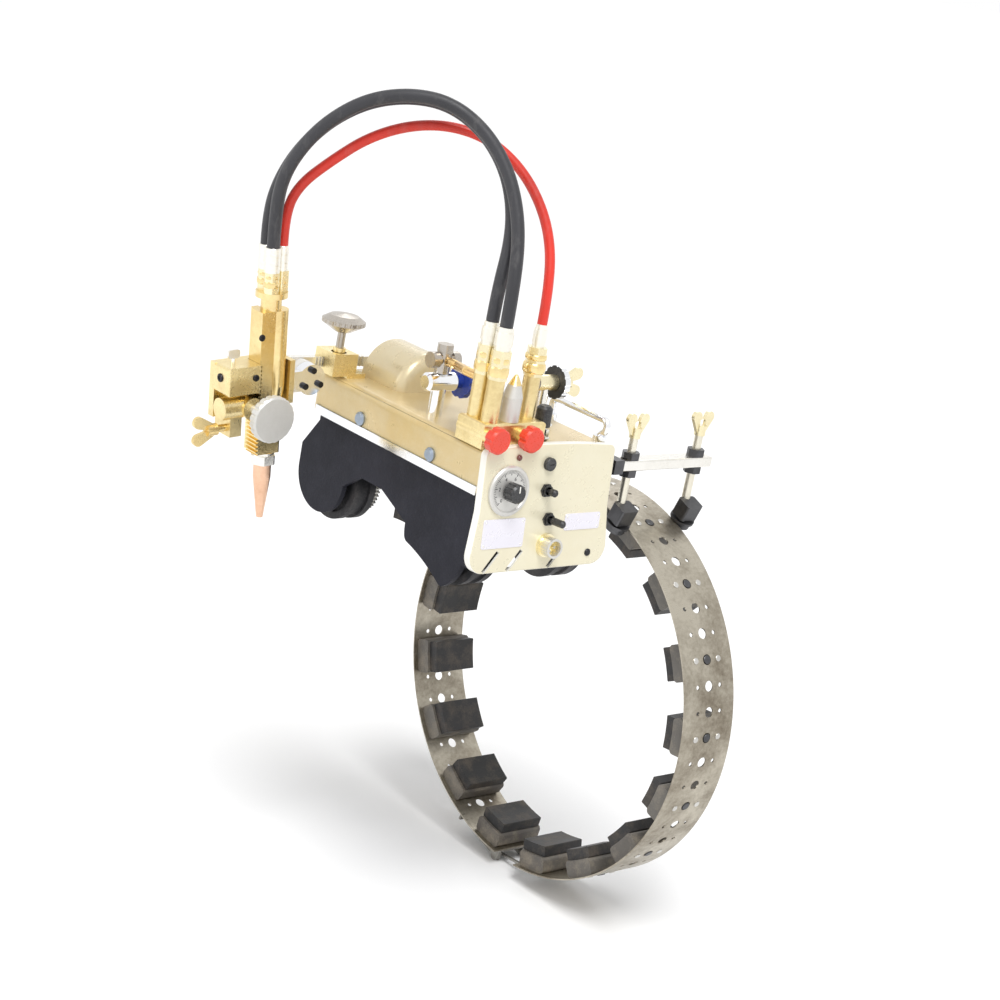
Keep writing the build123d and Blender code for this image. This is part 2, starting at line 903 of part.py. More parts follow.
def axle_bushes():
    """Bronze bushes in the four bosses."""
    bushes = []
    for side in (-1, 1):
        for y, z in axle_places:
            x0 = body_x + side * (plate_outer - bush_skin)
            x1 = body_x + side * (plate_inner - boss_length)
            bush = rod_along_x(axle_r + bush_wall, x0, x1, y, z)
            bushes.append(bush
                          - rod_along_x(axle_r + run_gap, x0 + side * overrun, x1 - side * overrun, y, z))
    return group(bushes)


def casing_cover():
    """Painted shell over the chassis, open below and in front, with a window under the hump."""
    y0 = -body_length / 2
    y1 = body_length / 2
    outer = block(body_x - half_body, body_x + half_body, y0, y1, skirt_z, casing_top)
    corners = outer.edges().filter_by(Axis.Z).group_by(Axis.Y)[-1]
    outer = fillet(corners, casing_corner_r)
    rims = outer.faces().sort_by(Axis.Z)[-1].edges().sort_by(Axis.Y)[1:]
    outer = fillet(rims, casing_edge_r)
    inner = block(body_x - half_body + casing_wall, body_x + half_body - casing_wall, y0 - overrun,
                  y1 - casing_wall,
                  skirt_z - overrun, casing_top - casing_wall)
    inner_corners = inner.edges().filter_by(Axis.Z).group_by(Axis.Y)[-1]
    inner = fillet(inner_corners, casing_corner_r - casing_wall)
    shell = outer - inner
    window_half = motor_r + hump_wall
    shell -= block(hump_x - window_half, hump_x + window_half, hump_front + hump_end_r / 2,
                   hump_rear - hump_wall * 2,
                   skirt_z, casing_top + overrun)
    shell -= before_panel(0)
    for side in (-1, 1):
        for y in (-case_screw_front_y, case_screw_rear_y):
            shell -= rod_along_x(screw_notch_r, body_x + side * (half_body - casing_wall - overrun),
                                 body_x + side * (half_body + overrun), y, skirt_z - screw_notch_r / 2)
    return shell


def motor_cover():
    """Round-backed hump over the motor, its front end rounded down."""
    length = hump_length
    core = rod_along_y(hump_r, hump_front, hump_rear, hump_x, casing_top)
    core = fillet(core.edges().group_by(Axis.Y)[0], hump_end_r)
    inside = rod_along_y(hump_r - hump_wall, hump_front + hump_wall, hump_rear - hump_wall, hump_x,
                         casing_top)
    inside = fillet(inside.edges().group_by(Axis.Y)[0], hump_end_r - hump_wall)
    above = block(hump_x - hump_r, hump_x + hump_r, hump_front - overrun, hump_front + length + overrun,
                  casing_top, casing_top + hump_r * 2)
    return (core - inside) & above


def edge_trims():
    """Bright strips along the lower edges of the casing's sides."""
    trims = []
    for side in (-1, 1):
        x0 = body_x + side * half_body
        x1 = x0 + side * strip_trim_thickness
        y0 = -body_length / 2 + trim_end_margin
        trim = block(x0, x1, y0, body_length / 2 - casing_corner_r, skirt_z - strip_trim_height / 3,
                     skirt_z + strip_trim_height)
        trims.append(trim)
    return group(trims)


def case_screws():
    """Chrome domed screws on the casing's sides."""
    screws = []
    for side in (-1, 1):
        for y in (-case_screw_front_y, case_screw_rear_y):
            head = bevelled(case_screw_r, case_screw_height, case_screw_height / 2)
            place = Pos(body_x + side * half_body, y, casing_top - case_screw_drop) * Rot(0, side * 90, 0)
            screws.append(place * head)
    return group(screws)


def belly_magnet():
    """Magnet block under the deck, curved to the pipe, on two posts."""
    low_r = pipe_r + belly_air_gap
    magnet = block(body_x - belly_width / 2, body_x + belly_width / 2, -belly_length / 2, belly_length / 2,
                   low_r - belly_height / 2, low_r + belly_height)
    magnet -= Pos(body_x, 0, 0) * Rot(0, 90, 0) * Cylinder(low_r, belly_width * 2)
    return magnet


def belly_posts():
    """Posts that hang the magnet from the deck."""
    low = pipe_r + belly_air_gap + belly_height
    return group(rod_along_z(belly_post_r, low, deck_top - deck_thickness,
                             body_x + side * belly_post_spacing / 2, 0)
                 for side in (-1, 1))


def motor():
    """Drive motor that lies along the machine."""
    rear = pinion_y - gearbox_length / 2
    front = rear - motor_length
    body = rod_along_y(motor_r, front, rear, hump_x, motor_z)
    cap = rod_along_y(motor_cap_r, front - motor_cap_length, front, hump_x, motor_z)
    return body + cap


def gearbox():
    """Worm gearbox between motor and rear axle."""
    top = motor_z + motor_r
    half = gearbox_length / 2
    box = block(body_x - gearbox_left, body_x + gearbox_right, pinion_y - half,
                min(pinion_y + half, body_length / 2 - casing_wall
                    - skin_gap), pinion_z - half / 2, casing_top - casing_wall)
    box -= rod_along_x(drive_shaft_r + run_gap, body_x - gearbox_left - overrun, body_x + gearbox_right / 2,
                       pinion_y, pinion_z)
    return box


def control_board():
    """Speed control board on four standoffs."""
    x0 = body_x + half_body - casing_wall * 4 - board_width
    y0 = -body_length / 2 + panel_depth * 3
    board = block(x0, x0 + board_width, y0, y0 + board_length, deck_top + board_standoff,
                  deck_top + board_standoff + board_thickness)
    top = deck_top + board_standoff + board_thickness
    chips = [block(x0 + chip_size * (2 * index + 1) / 2,
                   x0 + chip_size * (2 * index + 3) / 2 - chip_size / 4,
                   y0 + chip_size, y0 + chip_size * 2, top, top + chip_height) for index in range(2)]
    posts = [rod_along_z(standoff_r, deck_top, deck_top + board_standoff, x0 + dx, y0 + dy)
             for dx in (standoff_r * 2, board_width - standoff_r * 2)
             for dy in (standoff_r * 2, board_length - standoff_r * 2)]
    return board + chips + posts


def make_body():
    """Write the body's fixed nodes."""
    save(group([chassis_frame()] + list(axle_bushes().solids())), "chassis_frame")
    save(casing_cover(), "casing_cover")
    save(motor_cover(), "motor_cover")
    save(group(list(edge_trims().solids()) + list(case_screws().solids()) + [panel_screw()]), "case_trim")
    save(group([belly_magnet()] + list(belly_posts().solids())), "belly_magnet")
    save(group([motor(), gearbox()]), "gear_motor")
    save(control_board(), "control_board")


# Wheels and drive

def wheel(side, y, z):
    """Magnetic wheel: two steel poles about a magnet, one solid rim with a web."""
    outer = body_x + side * wheel_outer
    inner = outer - side * wheel_width
    tyre = rod_along_x(wheel_r, outer, inner, y, z)
    groove = rod_along_x(wheel_r * 2, outer - side * wheel_pole, inner + side * wheel_pole, y, z)
    groove -= rod_along_x(wheel_r - wheel_magnet_inset, outer, inner, y, z)
    recess = rod_along_x(wheel_r - wheel_pole, outer + side * overrun, outer - side * wheel_web_recess, y, z)
    recess -= rod_along_x(hub_r, outer + side * overrun * 2, inner, y, z)
    bore = rod_along_x(axle_r, outer + side * overrun, inner - side * overrun, y, z)
    return tyre - groove - recess - bore


def axle(y, z):
    """Axle that runs in the bushes."""
    reach = plate_outer - bush_skin - skin_gap
    return rod_along_x(axle_r, body_x - reach, body_x + reach, y, z)


def axle_gear():
    """Gear on the rear axle, a gap between teeth facing the pinion."""
    turn = 90 - pinion_lean + 180 / axle_gear_teeth
    gear = toothed(axle_gear_teeth, gear_module, gear_width, turn)
    gear -= Cylinder(axle_r, gear_width * 2)
    return Pos(body_x - gear_offset_x, rear_wheel_y, rear_axle_z) * Rot(0, 90, 0) * Rot(0, 0, 90) * gear


def drive_pinion():
    """Pinion and shaft out of the gearbox, a tooth facing the axle gear."""
    turn = -90 - pinion_lean
    gear = toothed(pinion_teeth, gear_module, gear_width, turn)
    gear = Pos(body_x - gear_offset_x, pinion_y, pinion_z) * Rot(0, 90, 0) * Rot(0, 0, 90) * gear
    shaft = rod_along_x(drive_shaft_r, body_x - gear_offset_x - gear_width / 2, body_x, pinion_y, pinion_z)
    return gear + shaft


def make_wheels():
    """Write wheels, axles and gears."""
    for name, (y, z) in zip(("front", "rear"), axle_places):
        save(group([wheel(-1, y, z), wheel(1, y, z), axle(y, z)]), name + "_wheelset")
    save(axle_gear(), "axle_gear")
    save(drive_pinion(), "drive_pinion")


# Front panel and its controls

def panel_outline():
    """Panel's face: crowned top and rounded lower corners, its top edge on y = 0."""
    half = half_body
    foot = half_body + panel_flare
    knee = -panel_height / 2
    lines = Polyline((half, 0), (half, knee), (foot, -panel_height), (-foot, -panel_height),
                     (-half, knee), (-half, 0))
    crown = ThreePointArc((-half, 0), (0, panel_crown), (half, 0))
    face = make_face(lines + crown)
    face = fillet(face.vertices().group_by(Axis.Y)[0], panel_foot_corner_r)
    return fillet(face.vertices().group_by(Axis.Y)[-1], panel_top_corner_r)


def front_panel():
    """Pressed cover with a folded rim, a switch column and slanted vents in its lower edge."""
    face = panel_outline()
    pan = extrude(Plane.XZ * face, panel_depth)
    pan = Pos(0, panel_depth, 0) * pan
    rim = pan.faces().sort_by(Axis.Y)[0].edges()
    pan = fillet(rim, panel_edge_r)
    hollow = Pos(0, panel_depth + overrun, 0) * extrude(Plane.XZ * offset(face, -panel_wall),
                                                        panel_depth + overrun - panel_wall)
    pan -= hollow
    for x in (-slot_first_x, -slot_second_x, slot_third_x):
        slot = Pos(x, 0, -panel_height + slot_rise) * Rot(0, -slot_angle, 0) * Box(slot_length,
                panel_depth * 3, slot_width)
        pan -= slot
    holes = [(-dial_x, dial_drop, shaft_r + run_gap), (toggle_x, toggle_drop, toggle_bush_r),
             (reverse_x, reverse_drop, toggle_bush_r)]
    for x, drop, r in holes:
        pan -= rod_along_y(r, -panel_depth, panel_depth, x, -drop)
    return panel_place * pan


def facing(x, drop):
    """A place on the panel's face, its local +Z pointing out of the panel."""
    return panel_place * Pos(x, 0, -drop) * Rot(90, 0, 0)


def speed_dial():
    """Bright ring and plate round the speed knob."""
    ring = lathe([(shaft_r + skin_gap, 0), (dial_r, 0), (dial_r, dial_thickness - dial_bevel),
                  (dial_r - dial_bevel, dial_thickness), (dial_r - dial_rim, dial_thickness),
                  (dial_r - dial_rim - dial_bevel, dial_thickness - dial_bevel), (shaft_r + skin_gap,
                          dial_thickness - dial_bevel)])
    return facing(-dial_x, dial_drop) * ring


def speed_pot():
    """Potentiometer behind the panel."""
    depth = pot_length + panel_wall
    return facing(-dial_x, dial_drop) * Pos(0, 0, -(depth + panel_wall) / 2) * Cylinder(pot_r,
                                                                                        depth - panel_wall)


def speed_knob():
    """Fluted knob with its shaft."""
    knob = Pos(0, 0, dial_thickness + skin_gap) * fluted(knob_r, knob_height, knob_flutes, knob_flute_r,
                                                         panel_edge_r)
    low = -panel_wall + skin_gap
    high = dial_thickness + skin_gap
    shaft = Pos(0, 0, (low + high) / 2) * Cylinder(shaft_r, high - low)
    return facing(-dial_x, dial_drop) * (knob + shaft)


def toggle_fixed(x, drop):
    """Switch body behind the panel with its threaded bush and nut in front."""
    case = Pos(0, 0, -panel_wall - toggle_case_depth / 2) * Box(toggle_case, toggle_case, toggle_case_depth)
    bush = Pos(0, 0, (toggle_bush_height - panel_wall) / 2) * Cylinder(toggle_bush_r,
                                                                       toggle_bush_height + panel_wall)
    nut = extrude(RegularPolygon(toggle_nut_r, 6), toggle_nut_height)
    mouth = rod_along_z(toggle_mouth_r, -toggle_mouth_r, toggle_bush_height + overrun, 0, 0)
    return facing(x, drop) * (case + bush + nut - mouth)


def toggle_lever(x, drop, length):
    """Bat lever that rocks about the panel's face."""
    lever = lathe([(0, -toggle_root_r / 2), (toggle_root_r, -toggle_root_r / 2),
                   (toggle_root_r, toggle_bush_height),
                   (toggle_tip_r, toggle_bush_height + toggle_root_r * 2),
                   (toggle_tip_r, length), (toggle_tip_r / 2, length + toggle_tip_r / 2), (0,
                           length + toggle_tip_r / 2)])
    lever += rod_along_x(toggle_pin_r, -toggle_pin_half, toggle_pin_half, 0, 0)
    return facing(x, drop) * lever


def fuse_holder():
    """Round fuse cap with a screwdriver slot."""
    cap = bevelled(fuse_r, fuse_height, fuse_slot / 2)
    cap -= Pos(0, 0, fuse_height) * Box(fuse_r, fuse_slot, fuse_slot)
    return facing(fuse_x, fuse_drop) * cap


def power_socket():
    """Round panel socket with its flange and three contact pins."""
    shell = lathe([(0, 0), (socket_flange_r, 0), (socket_flange_r, socket_flange), (socket_r, socket_flange),
                   (socket_r, socket_length), (socket_bore_r, socket_length),
                   (socket_bore_r, socket_length - socket_bore_depth), (0,
                                                                        socket_length - socket_bore_depth)])
    pin_length = socket_bore_depth / 2
    pins = [loc * Pos(0, 0, socket_length - socket_bore_depth + pin_length / 2) * Cylinder(socket_pin_r,
                                                                                           pin_length)
            for loc in PolarLocations(socket_pin_ring, socket_pin_count)]
    return facing(socket_x, socket_drop) * (shell + pins)


def panel_lamp():
    """Small lamp above the dial."""
    return facing(-lamp_x, lamp_drop) * bevelled(lamp_r, lamp_height, lamp_height / 3)


def panel_screw():
    """Screw in the panel's lower corner."""
    return facing(panel_screw_x, panel_screw_drop) * bevelled(panel_screw_r, panel_screw_height,
                                                              panel_screw_height / 2)


def make_panel():
    """Write the panel and its controls."""
    save(front_panel(), "front_panel")
    save(speed_knob(), "speed_knob")
    save(group([toggle_fixed(toggle_x, toggle_drop), toggle_fixed(reverse_x, reverse_drop),
                speed_pot()]), "switch_bodies")
    save(toggle_lever(toggle_x, toggle_drop, toggle_length), "power_toggle")
    save(toggle_lever(reverse_x, reverse_drop, reverse_length), "reverse_toggle")
    save(group([speed_dial(), fuse_holder(), panel_lamp(), power_socket()]), "panel_fittings")


# Gas fittings

def gas_columns():
    """X, Y and ferrule radius of each hose column on the manifold."""
    return [(body_x - black_column_x, -black_rear_y, ferrule_r),
            (body_x - black_column_x, -black_front_y, ferrule_r),
            (body_x - red_column_x, -red_column_y, red_ferrule_r)]


def manifold():
    """Brass block with a column under each hose union, valve noses in front and a domed cap."""
    body = block(body_x - manifold_left_x + manifold_edge_r, body_x - manifold_right_x,
                 -manifold_front_y, -manifold_rear_y,
                 casing_top, casing_top + manifold_height)
    body = fillet(body.edges().group_by(Axis.Z)[-1], manifold_edge_r)
    for x, y, r in gas_columns():
        body += rod_along_z(column_r, casing_top + manifold_height / 2, union_base, x, y)
    noses = []
    for x in (valve_left_x, valve_right_x):
        nose = rod_along_y(valve_r, -manifold_front_y - valve_length, -manifold_rear_y, body_x - x,
                           casing_top + valve_height)
        noses.append(nose)
    body += noses
    for x in (valve_left_x, valve_right_x):
        body -= rod_along_y(stem_r + run_gap, -manifold_front_y - valve_length - overrun, -manifold_front_y,
                            body_x - x, casing_top + valve_height)
    return body


def manifold_cap():
    """Nickel dome between the columns."""
    low = casing_top + manifold_height
    dome = lathe([(0, 0), (cap_r, 0), (cap_r, cap_height * 2 / 3), (cap_r * 2 / 3, cap_height),
                  (0, cap_height)])
    return Pos(body_x - cap_x, -cap_y, low) * dome


def union_nuts():
    """Hexagon nuts under the hose ferrules."""
    return group(hex_along_z(union_across, union_base, union_base + union_length, x, y) for x, y,
                 r in gas_columns())


def ferrule(r):
    """Crimped sleeve round a hose's end, standing on z = 0."""
    step = r - r / 8
    return lathe([(0, 0), (step, 0), (step, ferrule_ring), (r, ferrule_ring),
                  (r, ferrule_length - ferrule_ring),
                  (step, ferrule_length - ferrule_ring), (step, ferrule_length), (0, ferrule_length)])


def hose_ferrules():
    """Nickel ferrules on the manifold's unions."""
    return group(Pos(x, y, union_base + union_length) * ferrule(r) for x, y, r in gas_columns())


def red_knob(x):
    """Red needle valve knob with its stem."""
    front = -manifold_front_y - valve_length - stem_gap
    place = Pos(body_x - x, front, casing_top + valve_height) * Rot(90, 0, 0)
    knob = fluted(red_knob_r, red_knob_length, red_knob_lobes, red_knob_lobe_r, panel_edge_r)
    stem = Pos(0, 0, -(stem_gap + valve_length - skin_gap) / 2) * Cylinder(stem_r,
            stem_gap + valve_length - skin_gap)
    return place * (knob + stem)


def inlet_valve():
    """Nickel valve body that lies across the casing on a foot."""
    x0 = body_x - inlet_x - inlet_length / 2
    x1 = x0 + inlet_length
    z = casing_top + inlet_height
    body = rod_along_x(inlet_r, x0, x1, -inlet_y, z)
    body = chamfer(body.edges().filter_by(GeomType.CIRCLE), manifold_edge_r)
    body += rod_along_z(inlet_foot_r, casing_top, z, body_x - inlet_x, -inlet_y)
    return body - rod_along_x(stem_r + run_gap, x1 - blue_hub_length, x1 + overrun, -inlet_y, z)


def blue_knob():
    """Blue valve knob with its pale hub."""
    x1 = body_x - inlet_x + inlet_length / 2
    z = casing_top + inlet_height
    place = Pos(x1 + skin_gap, -inlet_y, z) * Rot(0, 90, 0)
    knob = Pos(0, 0, blue_hub_length) * fluted(blue_knob_r, blue_knob_length, blue_knob_lobes,
                                               blue_knob_lobe_r, panel_edge_r)
    hub = Pos(0, 0, blue_hub_length / 2) * Cylinder(blue_hub_r, blue_hub_length)
    stem = Pos(0, 0, -blue_hub_length / 4) * Cylinder(stem_r, blue_hub_length / 2 + skin_gap)
    return place * (knob + hub + stem)


def inlet_tee():
    """Chrome tee on the inlet valve, with a nut on each arm."""
    z0 = casing_top + inlet_height + inlet_r
    z1 = casing_top + tee_height
    x = body_x - inlet_x
    body = rod_along_z(tee_r, z0, z1 + tee_r, x, -inlet_y)
    half = tee_arm_length / 2
    body += rod_along_x(tee_arm_r, x - half, x + half, -inlet_y, z1)
    for side in (-1, 1):
        end = x + side * half
        body += rod_along_x(tee_nut_r, end - side * tee_nut_length, end, -inlet_y, z1)
    body += hex_along_z(tee_r * 2, z1 + tee_r, z1 + tee_r + tee_nut_length, x, -inlet_y)
    return body


def cross_pipe():
    """Brass pipe from the tee to the manifold's rear black column."""
    x0 = body_x - inlet_x
    x1 = body_x - black_column_x
    z0 = casing_top + tee_height
    z1 = union_base - cross_pipe_r - skin_gap
    tee_side = -inlet_y - tee_r
    column_side = -black_rear_y + column_r
    lead = tee_r * 2
    corners = [(x0, tee_side, z0), (x0, tee_side - lead, z0), (x1, column_side + lead, z1),
               (x1, column_side - column_r / 2, z1)]
    path = FilletPolyline(*corners, radius=tee_r)
    pipe = sweep(Plane(origin=corners[0], z_dir=(0, -1, 0)) * Circle(cross_pipe_r), path=path)
    return pipe - rod_along_z(column_r, casing_top, union_base, x1, -black_rear_y)


def make_gas():
    """Write manifold, valves and fittings."""
    save(manifold(), "gas_manifold")
    save(union_nuts(), "union_nuts")
    save(group(list(hose_ferrules().solids()) + [manifold_cap()]), "hose_ferrules")
    save(red_knob(valve_left_x), "oxygen_knob")
    save(red_knob(valve_right_x), "fuel_knob")
    save(group([inlet_valve(), inlet_tee()]), "inlet_valve")
    save(blue_knob(), "blue_knob")
    save(cross_pipe(), "cross_pipe")


# Clamp wheel, carrying rod and clutch on the casing's right

def clamp_post():
    """Post and cross arm for the clamp wheel."""
    x = body_x + post_x
    top = casing_top + post_height
    post = rod_along_z(post_base_r, casing_top, casing_top + post_base_height, x, -post_y)
    post += rod_along_z(post_r, casing_top, top, x, -post_y)
    post += rod_along_x(arm_r, x - arm_length / 2, x + arm_length / 2, -post_y, top)
    return post - rod_along_x(stem_r + run_gap, x, x + arm_length, -post_y, top)


def clamp_wheel():
    """Black hand wheel with its stem."""
    x = body_x + post_x + arm_length / 2 + skin_gap
    place = Pos(x, -post_y, casing_top + post_height) * Rot(0, 90, 0)
    knob = fluted(clamp_wheel_r, clamp_wheel_length, clamp_wheel_lobes, clamp_wheel_lobe_r, panel_edge_r)
    stem = Pos(0, 0, -arm_length / 4) * Cylinder(stem_r, arm_length / 2)
    return place * (knob + stem)


def clamp_wing():
    """Brass wing nut that locks the hand wheel on the same stem."""
    x = body_x + post_x + arm_length / 2 + skin_gap + clamp_wheel_length
    return Pos(x, -post_y, casing_top + post_height) * Rot(0, 90, 0) * wing_screw_head()


def carrying_rod():
    """Bent steel rod along the casing's right edge."""
    x = body_x + rod_x - rod_r
    low = casing_top + rod_boss_height
    z = casing_top + rod_height
    corners = [(x, -rod_rear_y, low), (x, -rod_rear_y, z), (x, -rod_front_y - rod_nose, z),
               (x, -rod_front_y, low)]
    path = FilletPolyline(*corners, radius=rod_bend_r)
    return sweep(Plane(origin=corners[0], z_dir=(0, 0, 1)) * Circle(rod_r), path=path)


def rod_bosses():
    """Bosses that seat the carrying rod."""
    x = body_x + rod_x - rod_r
    return group(rod_along_z(rod_boss_r, casing_top, casing_top + rod_boss_height, x, y)
                 for y in (-rod_rear_y, -rod_front_y))


def clutch_seat():
    """Chrome base with two ears for the clutch lever."""
    x = body_x + clutch_x
    seat = rod_along_z(clutch_base_r, casing_top, casing_top + clutch_base_height, x, -clutch_y)
    half = clutch_slot / 2
    for side in (-1, 1):
        seat += block(x + side * half, x + side * (half + clutch_ear), -clutch_y - clutch_hub_r,
                      -clutch_y + clutch_hub_r,
                      casing_top, casing_top + clutch_ear_height)
    z = casing_top + clutch_pivot_height + clutch_base_height / 2
    return seat - rod_along_x(clutch_pin_r + run_gap, x - clutch_base_r, x + clutch_base_r, -clutch_y, z)


def clutch_lever():
    """Lever with a black grip, pinned between the ears."""
    x = body_x + clutch_x
    z = casing_top + clutch_pivot_height + clutch_base_height / 2
    reach = clutch_slot / 2 + clutch_ear
    lever = rod_along_x(clutch_pin_r, x - reach, x + reach, -clutch_y, z)
    half = clutch_lever_thickness / 2
    lever += rod_along_x(clutch_hub_r, x - half, x + half, -clutch_y, z)
    lever += rod_along_z(clutch_stem_r, z, z + clutch_lever_height - clutch_grip_height, x, -clutch_y)
    grip = Pos(x, -clutch_y, z + clutch_lever_height - clutch_grip_height)
    return lever + grip * bevelled(clutch_grip_r, clutch_grip_height, clutch_grip_r / 3)


def make_right_side():
    """Write the pieces on the casing's right."""
    save(group([clamp_post(), clutch_seat()]), "clamp_post")
    save(group([clamp_wheel(), clamp_wing()]), "clamp_wheel")
    save(group([carrying_rod()] + list(rod_bosses().solids())), "carrying_rod")
    save(clutch_lever(), "clutch_lever")


# Cross slide

def slide_bracket():
    """Brass guide block of the cross bar, bolted to the casing's rear left corner."""
    left = body_x - bracket_left_x
    right = body_x - bracket_right_x
    head_low = casing_top + bar_height - bar_size
    head = block(left, right, bracket_front_y, bracket_rear_y, head_low, casing_top + bracket_top)
    foot = block(body_x - half_body + casing_edge_r, body_x - bracket_foot_x, bracket_front_y,
                 bracket_rear_y, casing_top,
                 casing_top + bracket_base)
    web = block(body_x - half_body + casing_edge_r, right, bracket_front_y, bracket_rear_y, casing_top,
                head_low)
    body = head + foot + web
    slot = bar_size / 2 + run_gap
    body -= block(left - overrun, right + overrun, bar_y - slot, bar_y + slot, bar_z - slot, bar_z + slot)
    well_r = slide_pinion_r + rack_module * tip_share + skin_gap
    body -= rod_along_z(well_r, bar_z - bar_size / 2 - skin_gap, casing_top + bracket_top + overrun,
                        body_x - mushroom_x, mushroom_y)
    return body


def cross_bar():
    """Square bar with rack teeth on its front face."""
    x0 = body_x - bar_left_x
    x1 = body_x - bar_right_x
    bar = block(x0, x1, bar_y - bar_size / 2, bar_y + bar_size / 2, bar_z - bar_size / 2,
                bar_z + bar_size / 2)
    pitch = math.pi * rack_module
    middle = body_x - mushroom_x
    count = int((middle - x0 - bar_size * 3) / pitch)
    reach = int((x1 - middle - bar_size / 2) / pitch)
    place = Pos(middle, bar_front + rack_module * tip_share, bar_z) * Rot(90, 0, 0)
    cuts = [place * Rot(0, 0, 0) * cut for cut in rack_gaps(-count, reach, bar_size)]
    return bar - cuts


def rack_gaps(first, last, depth):
    """Rack gaps numbered about a tooth gap at x = 0, cutting into -Z from the pitch line at z = 0."""
    pitch = math.pi * rack_module
    tip = rack_module * tip_share
    root = rack_module * root_share
    mouth = pitch * (1 - 2 * tooth_tip_share) / 2
    floor = pitch * (1 - 2 * tooth_root_share) / 2
    profile = make_face(Polyline((-mouth, tip + overrun), (-mouth, tip), (-floor, -root), (floor, -root),
                                 (mouth, tip), (mouth, tip + overrun), (-mouth, tip + overrun)))
    bar = extrude(Plane.XZ * profile, depth, both=True)
    return [Pos(index * pitch, 0, 0) * bar for index in range(first, last + 1)]


def bar_clevis():
    """Steel disc on the bar's left end that carries the tilt pin."""
    x = body_x - tilt_x
    disc = rod_along_y(tilt_disc_r, clevis_front_y, bar_front, x, tilt_z)
    return disc - rod_along_y(tilt_pin_r + run_gap, clevis_front_y - overrun, bar_front + overrun, x, tilt_z)


def cross_knob():
    """Mushroom knob on a stem with the pinion that drives the bar."""
    x = body_x - mushroom_x
    gear = toothed(slide_pinion_teeth, rack_module, bar_size - run_gap, 90)
    stem_low = bar_z + bar_size / 2
    cap_low = casing_top + mushroom_stem_height
    stem = rod_along_z(mushroom_stem_r, bar_z, cap_low, x, mushroom_y)
    cap = lathe([(0, 0), (mushroom_stem_r * 2, 0), (mushroom_r, mushroom_thickness / 2),
                 (mushroom_r, mushroom_thickness / 2 + mushroom_rim),
                 (mushroom_r * 2 / 3, mushroom_thickness), (0, mushroom_thickness + mushroom_rim / 2)])
    cuts = [loc * Cylinder(mushroom_flute_r, mushroom_thickness * 4)
            for loc in PolarLocations(mushroom_r + mushroom_flute_r / 2, mushroom_flutes)]
    collar = rod_along_z(mushroom_stem_r * 3 / 2, casing_top + bracket_top + skin_gap,
                         casing_top + bracket_top + bracket_base, x, mushroom_y)
    return Pos(x, mushroom_y, bar_z) * gear + stem + collar + Pos(x, mushroom_y, cap_low) * (cap - cuts)


# Tilt head, torch holder and torch

def leant(shape):
    """Turn a piece that was drawn about the upright torch to its lean, about the nozzle's tip."""
    return Pos(body_x - torch_x, torch_y, tip_z) * Rot(0, -tilt_lean, 0) * shape


def from_tip(x, y, z):
    """A place in the upright torch's own frame, for a point of the frame."""
    lean = math.radians(tilt_lean)
    dx = x - (body_x - torch_x)
    dz = z - tip_z
    return (dx * math.cos(lean) + dz * math.sin(lean), y - torch_y,
            -dx * math.sin(lean) + dz * math.cos(lean))


def tilt_plate():
    """Front disc of the tilt head with its pin, three screws' seats and an arm to the holder."""
    x, y, z = from_tip(body_x - tilt_x, torch_y, tilt_z)
    front = tilt_plate_front_y - torch_y
    rear = tilt_plate_rear_y - torch_y
    disc = rod_along_y(tilt_disc_r, front, rear, x, z)
    arm = block(holder_right, x, front, rear, z - tilt_disc_r * 2 / 3, z + tilt_disc_r * 2 / 3)
    pin = rod_along_y(tilt_pin_r, rear, bar_front - skin_gap - torch_y, x, z)
    return leant(disc + arm + pin)


def tilt_screws():
    """Dark socket screws on the tilt plate."""
    x, y, z = from_tip(body_x - tilt_x, torch_y, tilt_z)
    front = tilt_plate_front_y - torch_y
    heads = []
    for angle in (90, 210, 330):
        sx = x + tilt_screw_ring * math.cos(math.radians(angle))
        sz = z + tilt_screw_ring * math.sin(math.radians(angle))
        heads.append(leant(rod_along_y(tilt_screw_r, front - tilt_screw_height, front, sx, sz)))
    return group(heads)


